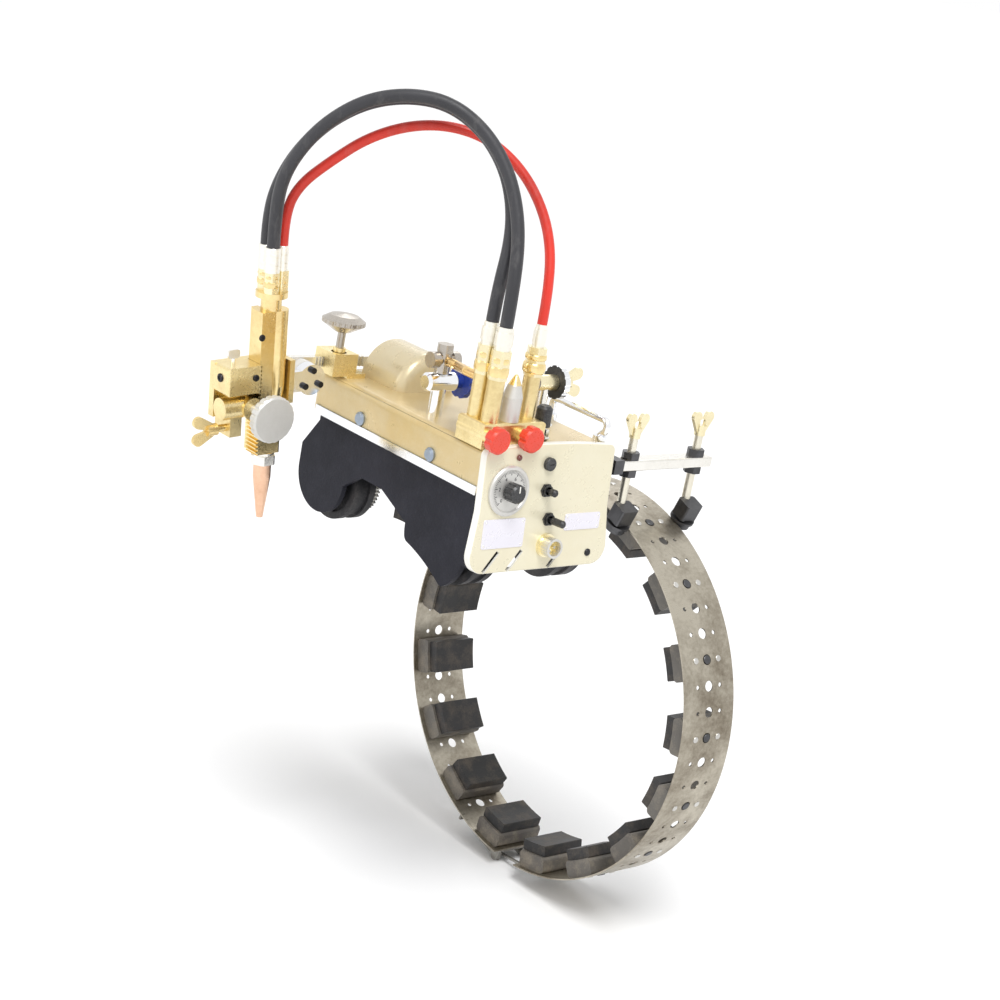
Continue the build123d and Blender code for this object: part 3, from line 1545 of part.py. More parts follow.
def torch_holder():
    """Brass holder: back plate with the guide groove, side block, cross sleeve, pinion boss and lug."""
    front = holder_back_front
    rear = holder_back_rear
    back = block(-holder_block_left, holder_right, front, rear, holder_back_start, holder_back_end)
    web = block(holder_web_left, holder_right, -barrel_r, rear, holder_back_start + sleeve_r,
                holder_back_end)
    side = -torch_rack_left - skin_gap
    upper = block(-holder_block_left, side, -holder_block_front, rear, holder_block_start, holder_block_end)
    upper = fillet(upper.edges().group_by(Axis.X)[0], holder_edge_r)
    sleeve = rod_along_x(sleeve_r, -holder_block_left, -lift_x, 0, pinion_station)
    boss = rod_along_y(sleeve_r, -holder_block_front, front, -lift_x, pinion_station)
    rib = block(-holder_block_left + sleeve_r, -lift_x, 0, rear, pinion_station, holder_block_start)
    lug_x = -lift_x - holder_lug_offset
    half = holder_lug_width / 2
    lug = block(lug_x - half, lug_x + half, -holder_lug_depth / 2, rear,
                pinion_station - holder_lug_drop - lug_half_height, pinion_station)
    body = back + web + upper + sleeve + boss + rib + lug
    groove = rack_tongue_width / 2 + run_gap
    mid = -torch_rack_left + torch_rack_width / 2
    body -= block(mid - groove, mid + groove, 0, front + rack_tongue_depth, 0, holder_block_end * 2)
    well = lift_pinion_r + rack_module * tip_share + skin_gap
    body -= rod_along_y(well, -torch_rack_depth / 2, torch_rack_depth / 2, -lift_x, pinion_station)
    body -= block(side, holder_web_left, -barrel_r * 2, front, 0, holder_block_end * 2)
    body -= rod_along_y(lift_shaft_r + run_gap, -holder_block_front * 2, rear - overrun, -lift_x,
                        pinion_station)
    body -= rod_along_x(wing_stem_r + run_gap, lug_x - holder_lug_width, lug_x, 0,
                        pinion_station - holder_lug_drop)
    body -= rod_along_z(thumb_stem_r + run_gap, holder_block_end - thumb_stem_length - skin_gap,
                        holder_block_end + overrun,
                        -holder_block_left + thumb_wing, 0)
    return leant(body)


def lift_knob():
    """Disc knob, shaft and pinion that drive the torch up and down."""
    gear_length = torch_rack_depth - skin_gap * 2
    gear = toothed(lift_pinion_teeth, rack_module, gear_length, 0)
    place = Pos(-lift_x, 0, pinion_station) * Rot(90, 0, 0)
    shaft = rod_along_y(lift_shaft_r, -disc_front_reach, holder_back_rear - overrun - skin_gap, -lift_x,
                        pinion_station)
    disc = Pos(-lift_x, -disc_front_reach + disc_thickness, pinion_station) * Rot(90, 0, 0)
    disc = disc * fluted(disc_r, disc_thickness, disc_flutes, disc_flute_r, panel_edge_r)
    return leant(place * gear + shaft + disc)


def holder_wing():
    """Brass wing screw in the holder's lug."""
    x = -lift_x - holder_lug_offset - holder_lug_width / 2
    z = pinion_station - holder_lug_drop
    stem = rod_along_x(wing_stem_r, x - holder_wing_stem, x + holder_wing_hole, 0, z)
    head = Pos(x - holder_wing_stem, 0, z) * Rot(0, -90, 0) * wing_screw_head()
    return leant(stem + head)


def holder_thumb():
    """Small chrome thumb screw on top of the holder's block."""
    x = -holder_block_left + thumb_wing
    z = holder_block_end
    stem = rod_along_z(thumb_stem_r, z - thumb_stem_length, z + thumb_stem_length, x, 0)
    wing = block(x - thumb_wing / 2, x + thumb_wing / 2, -thumb_thickness / 2, thumb_thickness / 2,
                 z + thumb_stem_length,
                 z + thumb_stem_length + thumb_height)
    wing = fillet(wing.edges().filter_by(Axis.Y), thumb_thickness)
    return leant(stem + wing)


def nozzle():
    """Copper cutting tip with its bore."""
    tip = lathe([(nozzle_bore_r, 0), (nozzle_tip_r, 0), (nozzle_top_r, nozzle_length * 3 / 4),
                 (nozzle_top_r, nozzle_length), (nozzle_bore_r, nozzle_length)])
    return leant(tip)


def head_nut():
    """Hexagon nut that holds the tip, with a round collar above."""
    z0 = nozzle_length
    nut = hex_along_z(nut_across, z0, z0 + nut_length - nut_collar_length, 0, 0)
    collar = rod_along_z(nut_collar_r, z0 + nut_length - nut_collar_length, z0 + nut_length, 0, 0)
    return leant(nut + collar)


def torch_barrel():
    """Torch body: square shank, round barrel with a long coned foot, and the plate under the unions."""
    shank = block(-shank_left, shank_right, -shank_depth / 2, shank_depth / 2,
                  nozzle_length + nut_length, shank_top)
    shank = fillet(shank.edges().filter_by(Axis.Z).group_by(Axis.X)[-1], holder_edge_r)
    barrel = Pos(barrel_offset, 0, 0) * lathe([(0, barrel_start), (barrel_r / 2, barrel_start),
                                              (barrel_r, barrel_start + barrel_cone),
                                              (barrel_r, barrel_end), (0, barrel_end)])
    barrel -= block(-torch_rack_left, -shank_left, -barrel_r, barrel_r, 0, barrel_end * 2)
    neck = rod_along_z(neck_r, barrel_end, barrel_end + neck_length, 0, 0)
    plate = rod_along_z(head_plate_r, barrel_end + neck_length, barrel_end + neck_length + head_plate, 0, 0)
    return leant(shank + barrel + neck + plate)


def torch_rack():
    """Brass rack bar beside the barrel, toothed on its left, with a tongue behind."""
    x0 = -torch_rack_left
    x1 = x0 + torch_rack_width
    half = torch_rack_depth / 2
    bar = block(x0, x1, -half, half, torch_rack_start, barrel_end)
    mid = (x0 + x1) / 2
    bar += block(mid - rack_tongue_width / 2, mid + rack_tongue_width / 2, half,
                 holder_back_front + rack_tongue_depth - skin_gap,
                 torch_rack_start, barrel_end)
    pitch = math.pi * rack_module
    below = int((pinion_station - torch_rack_start) / pitch)
    above = int((torch_rack_tooth_end - pinion_station) / pitch)
    place = Pos(x0 + rack_module * tip_share, 0, pinion_station) * Rot(0, -90, 0)
    return leant(bar - [place * cut for cut in rack_gaps(-below, above, torch_rack_depth)])


def torch_ports():
    """X and Y of the three hose ports in the torch's frame, with hose radius."""
    angles = (110, 230, 350)
    return [(head_ring * math.cos(math.radians(angle)), head_ring * math.sin(math.radians(angle)), r)
            for angle, r in zip(angles, (black_hose_r, black_hose_r, red_hose_r))]


def torch_unions():
    """Nuts on top of the torch."""
    low = barrel_end + neck_length + head_plate
    return group(leant(hex_along_z(head_union_across, low, low + head_union_length, x, y)) for x, y,
                 r in torch_ports())


def torch_ferrules():
    """Ferrules at the hoses' torch ends."""
    low = barrel_end + neck_length + head_plate + head_union_length
    return group(leant(Pos(x, y, low) * bevelled(r + nozzle_bore_r, head_ferrule_length, nozzle_bore_r / 2))
                 for x, y, r in torch_ports())


def make_torch():
    """Write slide, tilt head, holder and torch."""
    save(slide_bracket(), "slide_bracket")
    save(cross_bar() + bar_clevis(), "cross_bar")
    save(cross_knob(), "cross_knob")
    save(group([tilt_plate()] + list(tilt_screws().solids())), "tilt_plate")
    save(torch_holder(), "torch_holder")
    save(lift_knob(), "lift_knob")
    save(holder_wing(), "holder_wing")
    save(holder_thumb(), "holder_thumb")
    save(nozzle(), "nozzle")
    save(group([torch_barrel(), head_nut()]), "torch_barrel")
    save(torch_rack(), "torch_rack")
    save(group(list(torch_unions().solids()) + list(torch_ferrules().solids())), "torch_unions")


# Guide arms

def guide_bracket():
    """Black arm from the chassis to the guide bar's root."""
    root = body_x + plate_outer
    head_right = -guide_bar_end
    head_left = head_right - guide_head_length
    low = guide_bar_z - guide_bar_height / 2 - guide_head_margin
    high = guide_bar_z + guide_bar_height / 2 + guide_head_margin
    points = [(root, pipe_r + bracket_foot_low), (root, pipe_r + bracket_foot_high), (head_left, high),
              (head_right, high),
              (head_right, low), (head_left, low - guide_head_margin), (root + bracket_knee_x,
                                                                        pipe_r + bracket_knee_low)]
    plate = extrude(Plane.XZ * make_face(Polyline(*points, points[0])), bracket_plate / 2, both=True)
    head = block(head_left, head_right, -guide_bar_depth / 2 - guide_head_margin,
                 guide_bar_depth / 2 + guide_head_margin,
                 low, high)
    return Pos(0, -guide_y, 0) * (plate + head)


def guide_bar():
    """Bright bar over the band, slotted where the arms' rods pass."""
    half = guide_bar_depth / 2
    bar = block(-guide_bar_end, guide_bar_end, -guide_y - half, -guide_y + half,
                guide_bar_z - guide_bar_height / 2, guide_bar_z + guide_bar_height / 2)
    bar = fillet(bar.edges().filter_by(Axis.X), guide_bar_edge_r)
    slot_r = guide_rod_r + run_gap
    for side in (-1, 1):
        far = side * (guide_x + guide_slot)
        near = side * guide_x
        bar -= rod_along_z(slot_r, 0, casing_top * 2, near, -guide_y) + rod_along_z(slot_r, 0,
                casing_top * 2, far, -guide_y)
        bar -= block(near, far, -guide_y - slot_r, -guide_y + slot_r, 0, casing_top * 2)
    return bar


def radial_place(side):
    """Roller frame: origin on the strip's mid surface at the roller, +Z away from the pipe's axis."""
    return about_pipe(guide_angle) * Pos(side * guide_x, 0, roller_mid_r)


def guide_arm(side):
    """Dark arm: the block on the roller's pin, the threaded rod and its two lock nuts."""
    low = roller_groove / 2 + roller_flange_thickness + fork_gap
    body = block(-fork_width / 2, fork_width / 2, -fork_length / 2, fork_length / 2, low, low + fork_radial)
    body = fillet(body.edges().filter_by(Axis.Z), fork_edge_r)
    pin_low = -roller_groove / 2 - roller_flange_thickness - skin_gap
    pin = rod_along_z(roller_pin_r, pin_low, low, 0, 0)
    head = rod_along_z(roller_pin_head_r, pin_low - roller_pin_head, pin_low, 0, 0)
    whole = radial_place(side) * (body + pin + head)
    seat = (roller_mid_r + low + fork_radial / 2) * math.cos(math.radians(guide_angle))
    whole += rod_along_z(guide_rod_r, seat, pipe_r + guide_rod_top - wing_rise, side * guide_x, -guide_y)
    half_bar = guide_bar_height / 2 + run_gap
    for z in (guide_bar_z + half_bar, guide_bar_z - half_bar - guide_nut_length):
        whole += hex_along_z(guide_nut_r * 2, z, z + guide_nut_length, side * guide_x, -guide_y)
    return whole


def guide_roller(side):
    """Roller on the band's edge: a barrel with a flange plate on its outer end."""
    half = roller_groove / 2
    outer = roller_r + roller_flange
    top = half + roller_flange_thickness
    bore = roller_pin_r + run_gap
    barrel = lathe([(bore, -top), (roller_r, -top), (roller_r, half), (bore, half)])
    flange = lathe([(bore, half), (outer, half), (outer, top), (bore, top)])
    return radial_place(side) * group([barrel, flange])


def guide_wing(side):
    """Wing nut on the arm's rod."""
    low = pipe_r + guide_rod_top - wing_rise - wing_hub_length
    wing = Pos(side * guide_x, -guide_y, low) * wing_screw_head()
    return wing - rod_along_z(guide_rod_r + run_gap, low - overrun, low + wing_hub_length + wing_hub_r,
                              side * guide_x, -guide_y)


def make_guides():
    """Write the guide arms."""
    save(guide_bracket(), "guide_bracket")
    save(guide_bar(), "guide_bar")
    for name, side in (("left", -1), ("right", 1)):
        save(guide_arm(side), name + "_guide_arm")
        save(guide_roller(side), name + "_guide_roller")
        save(guide_wing(side), name + "_guide_wing")


# Hoses

def torch_end(port, beyond):
    """A point on a torch ferrule's axis, so far beyond the end where its hose starts."""
    x, y, r = torch_ports()[port]
    low = barrel_end + neck_length + head_plate + head_union_length + head_ferrule_length
    place = Pos(body_x - torch_x, torch_y, tip_z) * Rot(0, -tilt_lean, 0)
    return (place * Pos(x, y, low + beyond)).position


def manifold_end(column, beyond):
    """A point above the manifold's ferrule where a hose ends."""
    x, y, r = gas_columns()[column]
    return Vector(x, y, hose_base + beyond)


# Points between the two ends of each hose, chosen by hand along the photographed arcs
black_rear_points = [(-441, 100, 556), (-430, 86, 592), (-412, 66, 624), (-388, 41, 648), (-360, 12, 660),
                     (-333, -17, 659), (-309, -45, 640), (-295, -69, 611), (-291, -87, 577), (-296,
                                                                                              -100, 541)]
black_front_points = [(-450, 85, 557), (-441, 71, 594), (-423, 52, 627), (-399, 28, 652), (-371, -1, 664),
                      (-344, -30, 663), (-320, -58, 644), (-305, -83, 614), (-300, -103, 580), (-301,
                                                                                                -118, 543)]
red_points = [(-424, 90, 550), (-404, 70, 580), (-380, 47, 610), (-350, 21, 630), (-318, -5, 637),
              (-287, -32, 630), (-262, -59, 607), (-248, -84, 574), (-244, -103, 538)]


def hose_route(points, port, column):
    """All the points of a hose, from torch to manifold."""
    start = [torch_end(port, 0), torch_end(port, hose_lead)]
    finish = [manifold_end(column, hose_lead), manifold_end(column, 0)]
    return start + [Vector(*point) for point in points] + finish


def corner_radii(route):
    """The largest tangent arc that each corner's two runs allow."""
    radii = []
    for before, corner, after in zip(route, route[1:], route[2:]):
        first = corner - before
        second = after - corner
        turn = math.radians(first.get_angle(second))
        radii.append(hose_share * min(first.length, second.length) / math.tan(turn / 2))
    return radii


def hose(name, points, port, column, r):
    """A plain tube along one hose's route."""
    route = hose_route(points, port, column)
    radii = corner_radii(route)
    path = FilletPolyline(*route, radius=radii)
    tube = sweep(Plane(origin=route[0], z_dir=route[1] - route[0]) * Circle(r), path=path)
    expected = math.pi * r * r * path.length
    print(name, "length", round(path.length), "radii", [round(value) for value in radii],
          "volume ratio", round(tube.volume / expected, 4))
    save(tube, name)


def make_hoses():
    """Write the three hoses."""
    hose("rear_black_hose", black_rear_points, 0, 0, black_hose_r)
    hose("front_black_hose", black_front_points, 1, 1, black_hose_r)
    hose("red_hose", red_points, 2, 2, red_hose_r)


make_band()
make_body()
make_wheels()
make_panel()
make_gas()
make_right_side()
make_torch()
make_guides()
make_hoses()
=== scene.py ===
import bpy
import math
from mathutils import Matrix, Vector


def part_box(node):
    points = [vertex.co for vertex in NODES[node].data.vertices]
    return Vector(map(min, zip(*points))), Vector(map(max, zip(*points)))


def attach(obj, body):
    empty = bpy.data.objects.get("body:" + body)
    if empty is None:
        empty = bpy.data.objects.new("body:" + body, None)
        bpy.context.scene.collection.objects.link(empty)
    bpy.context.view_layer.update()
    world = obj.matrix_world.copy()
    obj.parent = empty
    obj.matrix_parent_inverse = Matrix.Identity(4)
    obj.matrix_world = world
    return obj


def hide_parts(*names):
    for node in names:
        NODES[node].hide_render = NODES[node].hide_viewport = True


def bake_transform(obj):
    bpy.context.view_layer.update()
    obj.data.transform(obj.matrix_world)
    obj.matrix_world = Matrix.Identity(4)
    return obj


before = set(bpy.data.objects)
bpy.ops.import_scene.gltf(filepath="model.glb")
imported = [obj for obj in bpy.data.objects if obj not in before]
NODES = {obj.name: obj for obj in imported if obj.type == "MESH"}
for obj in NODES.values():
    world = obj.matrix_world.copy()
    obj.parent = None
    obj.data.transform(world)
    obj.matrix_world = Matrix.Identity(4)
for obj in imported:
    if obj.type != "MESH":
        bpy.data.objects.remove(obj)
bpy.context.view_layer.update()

scene = bpy.context.scene
MM = 0.001
WHITE = (1.0, 1.0, 1.0, 1.0)


def add_object(name, data):
    obj = bpy.data.objects.new(name, data)
    scene.collection.objects.link(obj)
    return obj


# Camera at the photograph's place, in metres
SENSOR_MM = 36.0
LENS_MM = 77.27
CLIP_END = 50.0
CAMERA_PLACE = (-1.7072, -1.6853, 0.8908)
CAMERA_RIGHT = (0.7574, -0.6282, 0.178)
CAMERA_AHEAD = (0.6511, 0.7062, -0.2781)


def add_camera():
    data = bpy.data.cameras.new("camera")
    data.sensor_fit = "HORIZONTAL"
    data.sensor_width = SENSOR_MM
    data.lens = LENS_MM
    data.clip_end = CLIP_END
    right = Vector(CAMERA_RIGHT).normalized()
    ahead = Vector(CAMERA_AHEAD).normalized()
    above = right.cross(ahead).normalized()
    right = ahead.cross(above).normalized()
    turn = Matrix((right, above, -ahead)).transposed().to_4x4()
    obj = add_object("camera", data)
    obj.matrix_world = Matrix.Translation(CAMERA_PLACE) @ turn
    scene.camera = obj


add_camera()

# Sockets of a colour mix node, which share their names with its other kinds
MIX_FACTOR, MIX_A, MIX_B, MIX_RESULT = 0, 6, 7, 2


class Shader:
    """A material's node tree, with short calls for the nodes used here."""

    def __init__(self, name):
        self.material = bpy.data.materials.new(name)
        self.material.use_nodes = True
        self.tree = self.material.node_tree
        self.tree.nodes.clear()
        out = self.add("ShaderNodeOutputMaterial")
        self.body = self.add("ShaderNodeBsdfPrincipled")
        self.feed(out.inputs[0], self.body.outputs[0])
        self.place = self.add("ShaderNodeTexCoord").outputs["Object"]

    def feed(self, socket, value):
        """Set a socket to a number or a colour, or link another node's output to it."""
        if isinstance(value, (int, float)):
            socket.default_value = value
        elif isinstance(value, tuple):
            socket.default_value = (*value, 1.0)
        else:
            self.tree.links.new(value, socket)

    def add(self, kind, inputs=None, **settings):
        node = self.tree.nodes.new(kind)
        for key, value in settings.items():
            setattr(node, key, value)
        for key, value in (inputs or {}).items():
            self.feed(node.inputs[key], value)
        return node

    def put(self, socket, value):
        self.feed(self.body.inputs[socket], value)

    def stretched(self, scale):
        """Object coordinates with a scale along each axis."""
        node = self.add("ShaderNodeMapping", {"Vector": self.place})
        node.inputs["Scale"].default_value = scale
        return node.outputs[0]

    def noise(self, scale, detail=4.0, rough=0.6, place=None, distortion=0.0):
        node = self.add("ShaderNodeTexNoise", {
            "Scale": scale, "Detail": detail, "Roughness": rough, "Distortion": distortion,
            "Vector": place or self.place})
        return node.outputs["Fac"]

    def cells(self, scale):
        return self.add("ShaderNodeTexVoronoi", {"Scale": scale, "Vector": self.place}).outputs["Distance"]

    def spread(self, value, low, high, start=0.3, end=0.7):
        """Map a value from start..end to low..high."""
        node = self.add("ShaderNodeMapRange", {
            "From Min": start, "From Max": end, "To Min": low, "To Max": high, "Value": value})
        return node.outputs[0]

    def mix(self, factor, a, b):
        node = self.add("ShaderNodeMix", {MIX_FACTOR: factor, MIX_A: a, MIX_B: b}, data_type="RGBA")
        return node.outputs[MIX_RESULT]

    def sum(self, a, b):
        return self.add("ShaderNodeMath", {0: a, 1: b}, operation="ADD").outputs[0]

    def times(self, a, b):
        return self.add("ShaderNodeMath", {0: a, 1: b}, operation="MULTIPLY").outputs[0]

    def bump(self, height, strength, distance):
        node = self.add("ShaderNodeBump", {"Strength": strength, "Distance": distance, "Height": height})
        self.put("Normal", node.outputs[0])


def shade(color, factor):
    return tuple(max(0.0, min(1.0, c * factor)) for c in color)


def metal(name, color, dark, rough=0.28, spread=0.12, tarnish_and_shade=0.35, grain=(40.0, 260.0, 40.0), bump=0.12,
          casting=0.0, metallic=1.0):
    """Bare or plated metal: darker patches that are tarnish and, on the bright and cast brass and the band
    steel, also painted shade and dark reflections; fine scratches; and a cast or brushed surface.
    """
    s = Shader(name)
    s.put("Metallic", metallic)
    broad = s.noise(14.0, detail=5.0, rough=0.62, distortion=0.4)
    fine = s.noise(210.0, detail=3.0, rough=0.7)
    # Darker patches: tarnish, and on the bright and cast brass and the band steel also painted shade and dark
    # reflections
    tarnish_and_shade_cover = s.spread(s.sum(broad, s.times(fine, 0.35)), 0.0, tarnish_and_shade, start=0.55, end=0.95)
    s.put("Base Color", s.mix(tarnish_and_shade_cover, color, dark))
    scratch = s.noise(9.0, detail=4.0, rough=0.75, place=s.stretched(grain))
    s.put("Roughness", s.spread(s.sum(scratch, broad), rough - spread / 2, rough + spread,
                                start=0.7, end=1.3))
    height = s.times(scratch, 0.5)
    if casting:
        height = s.sum(height, s.times(s.cells(420.0), casting))
    s.bump(height, bump, distance=0.0004)
    return s.material


def paint(name, color, dark, rough=0.35, coat=0.3, orange=0.35, dust=(0.6, 0.58, 0.54), dusty=0.12,
          metallic=0.0, flakes=0.0, scuff=0.0, gloss=0.5):
    """Painted or lacquered metal: orange peel, slight dust, scuffs, flakes and uneven gloss."""
    s = Shader(name)
    s.put("Metallic", metallic)
    s.put("Coat Weight", coat)
    s.put("Coat Roughness", 0.12)
    s.put("Specular IOR Level", gloss)
    broad = s.noise(7.0, detail=5.0)
    middling = s.noise(45.0)
    fine = s.noise(520.0, detail=2.0)
    toned = s.mix(s.spread(broad, 0.0, 1.0, start=0.35, end=0.65), color, dark)
    film = s.spread(s.sum(middling, s.times(fine, 0.3)), 0.0, dusty, start=0.6, end=0.9)
    surface = s.mix(film, toned, dust)
    if scuff:
        marks = s.noise(30.0, detail=6.0, rough=0.8, place=s.stretched((1.0, 6.0, 3.0)))
        surface = s.mix(s.spread(marks, 0.0, scuff, start=0.62, end=0.75), surface, shade(dust, 1.1))
    if flakes:
        glint = s.spread(s.cells(1500.0), flakes, 0.0, start=0.0, end=0.5)
        surface = s.mix(glint, surface, shade(color, 1.25))
    s.put("Base Color", surface)
    s.put("Roughness", s.spread(s.sum(middling, broad), rough - 0.06, rough + 0.12, start=0.8, end=1.25))
    peel = s.noise(330.0, detail=2.0, rough=0.5)
    s.bump(s.sum(peel, s.times(fine, 0.4)), orange, distance=0.00025)
    return s.material


def moulded(name, color, rough=0.42, bump=0.25, coat=0.0, dusty=0.1):
    """Moulded plastic: fine grain, faint flow marks and dust."""
    s = Shader(name)
    s.put("Coat Weight", coat)
    s.put("Coat Roughness", 0.2)
    broad = s.noise(16.0)
    fine = s.noise(600.0, detail=2.0)
    toned = s.mix(s.spread(broad, 0.0, 1.0), color, shade(color, 0.78))
    film = s.spread(s.sum(broad, fine), 0.0, dusty, start=0.95, end=1.35)
    s.put("Base Color", s.mix(film, toned, (0.5, 0.5, 0.5)))
    s.put("Roughness", s.spread(s.sum(broad, fine), rough - 0.07, rough + 0.1, start=0.75, end=1.25))
    s.bump(fine, bump, distance=0.0002)
    return s.material


def hose_rubber(name, color, rough=0.5):
    """Extruded hose: a faint cloth impression and rubbed patches."""
    s = Shader(name)
    s.put("Sheen Weight", 0.12)
    s.put("Sheen Roughness", 0.5)
    broad = s.noise(9.0, detail=5.0)
    cloth = s.noise(900.0, detail=3.0, rough=0.65)
    rub = s.noise(60.0, rough=0.7, place=s.stretched((1.0, 1.0, 0.35)))
    toned = s.mix(s.spread(broad, 0.0, 1.0, start=0.35, end=0.65), color, shade(color, 0.7))
    worn = s.spread(rub, 0.0, 0.16, start=0.55, end=0.8)
    s.put("Base Color", s.mix(worn, toned, (0.42, 0.40, 0.38)))
    s.put("Roughness", s.spread(s.sum(rub, cloth), rough - 0.08, rough + 0.14, start=0.8, end=1.3))
    s.bump(s.sum(cloth, s.times(rub, 0.4)), 0.3, distance=0.0003)
    return s.material


# Metals
# Bright and cast brass: heavy dark patches, partly tarnish and partly painted dark reflections and shade
BRASS = metal("brass_bright", (0.94, 0.76, 0.39), (0.58, 0.38, 0.13), rough=0.20, tarnish_and_shade=0.62)
BRASS_CAST = metal("brass_cast", (0.92, 0.77, 0.42), (0.50, 0.35, 0.14), spread=0.14, tarnish_and_shade=0.68, bump=0.3,
                   casting=0.6)
BRASS_PALE = metal("brass_pale", (0.94, 0.85, 0.58), (0.62, 0.52, 0.28), rough=0.26, tarnish_and_shade=0.45)
BRASS_ORANGE = metal("brass_orange", (0.93, 0.66, 0.30), (0.60, 0.34, 0.12), rough=0.22, tarnish_and_shade=0.5)
NICKEL = metal("nickel_plate", (0.90, 0.88, 0.83), (0.55, 0.52, 0.45), rough=0.2)
IVORY = metal("ferrule_plate", (0.95, 0.93, 0.86), (0.70, 0.65, 0.52), rough=0.3)
DISC = metal("disc_plate", (0.68, 0.67, 0.64), (0.45, 0.43, 0.39), rough=0.34, metallic=0.5)
CHROME = metal("chrome_plate", (0.92, 0.93, 0.95), (0.5, 0.51, 0.53), rough=0.12, spread=0.10, tarnish_and_shade=0.25)
BLUED = metal("blued_screw", (0.36, 0.42, 0.50), (0.16, 0.19, 0.24), rough=0.3, tarnish_and_shade=0.5)
STEEL = metal("plain_steel", (0.66, 0.65, 0.62), (0.32, 0.30, 0.27), rough=0.32, spread=0.15, tarnish_and_shade=0.5)
# Band steel: darkened colour and heavy dark patches, partly tarnish and partly painted shade and dark
# reflections
BAND_STEEL = metal("band_steel", (0.50, 0.46, 0.38), (0.13, 0.10, 0.065), rough=0.34, spread=0.2,
                   tarnish_and_shade=0.95, grain=(8.0, 90.0, 90.0), bump=0.25)
ROD_STEEL = metal("rod_steel", (0.86, 0.82, 0.70), (0.50, 0.45, 0.34), tarnish_and_shade=0.4)
LATCH_STEEL = metal("latch_steel", (0.40, 0.39, 0.36), (0.12, 0.10, 0.08), rough=0.38, spread=0.2,
                    tarnish_and_shade=0.8)
DARK_STEEL = metal("dark_steel", (0.115, 0.115, 0.12), (0.03, 0.03, 0.03), rough=0.38, spread=0.15,
                   tarnish_and_shade=0.6)
SCREW_BLACK = metal("screw_black", (0.05, 0.05, 0.055), (0.015, 0.015, 0.015), rough=0.35, spread=0.15,
                    tarnish_and_shade=0.6)
MUSHROOM = metal("knob_steel", (0.52, 0.48, 0.43), (0.24, 0.21, 0.17), spread=0.15, tarnish_and_shade=0.6)
COPPER = metal("copper_tip", (0.93, 0.62, 0.44), (0.52, 0.27, 0.14), spread=0.14, tarnish_and_shade=0.6)

# Paints and lacquers
YOKE = paint("yoke_coat", (0.14, 0.13, 0.115), (0.08, 0.07, 0.06), rough=0.55, coat=0.0, orange=0.6,
             dust=(0.34, 0.29, 0.22), dusty=0.55, scuff=0.5)
MAGNET = paint("magnet_coat", (0.035, 0.034, 0.035), (0.02, 0.02, 0.02), rough=0.5, coat=0.0, orange=0.6,
               dust=(0.2, 0.16, 0.12), dusty=0.35, gloss=0.3)
CHASSIS = paint("chassis_coat", (0.012, 0.0125, 0.022), (0.007, 0.0075, 0.013), rough=0.5, coat=0.0,
                orange=0.6, dust=(0.10, 0.10, 0.12), dusty=0.14, scuff=0.18, gloss=0.22)
WHEEL = paint("wheel_coat", (0.03, 0.03, 0.034), (0.018, 0.018, 0.02), rough=0.5, coat=0.0, orange=0.5,
              dust=(0.2, 0.18, 0.17), dusty=0.3, scuff=0.3, gloss=0.3)
CASING = paint("casing_lacquer", (0.68, 0.54, 0.29), (0.60, 0.46, 0.22), rough=0.32, coat=0.35, orange=0.14,
               dust=(0.74, 0.68, 0.50), dusty=0.25, metallic=0.30, flakes=0.35)
HUMP = paint("hump_lacquer", (0.72, 0.62, 0.40), (0.65, 0.54, 0.33), rough=0.28, coat=0.45, orange=0.12,
             dust=(0.78, 0.74, 0.60), dusty=0.2, metallic=0.30, flakes=0.35)
PANEL = paint("panel_lacquer", (0.80, 0.75, 0.57), (0.75, 0.69, 0.50), rough=0.3, coat=0.4, orange=0.07,
              dust=(0.94, 0.92, 0.85), dusty=0.08, metallic=0.15, flakes=0.2)
PLATE = paint("bare_plate", (0.84, 0.82, 0.88), (0.78, 0.76, 0.84), rough=0.26, orange=0.05,
              dust=(0.92, 0.92, 0.94), dusty=0.1, metallic=0.25)
EDGE = paint("panel_edge", (0.93, 0.92, 0.86), (0.88, 0.86, 0.78), rough=0.3, orange=0.07,
             dust=(0.95, 0.94, 0.9), dusty=0.1)
BOARD = paint("board_laminate", (0.04, 0.20, 0.09), (0.03, 0.15, 0.07), rough=0.4, orange=0.2)

# Plastics and rubbers
BLACK = moulded("switch_black", (0.022, 0.022, 0.024), rough=0.38)
BLACK_KNOB = moulded("knob_black", (0.018, 0.018, 0.02), rough=0.3, coat=0.2)
RED = moulded("knob_red", (0.86, 0.05, 0.018), rough=0.3, coat=0.35, bump=0.12, dusty=0.04)
BLUE = moulded("knob_blue", (0.02, 0.06, 0.42), rough=0.3, coat=0.3, bump=0.12, dusty=0.05)
LAMP = moulded("lamp_red", (0.16, 0.018, 0.012), rough=0.2, coat=0.6, bump=0.05, dusty=0.03)
INK = moulded("dial_ink", (0.03, 0.03, 0.035), rough=0.5, dusty=0.05)
HOSE_BLACK = hose_rubber("hose_black", (0.034, 0.034, 0.040))
HOSE_RED = hose_rubber("hose_red", (0.76, 0.035, 0.018), rough=0.42)

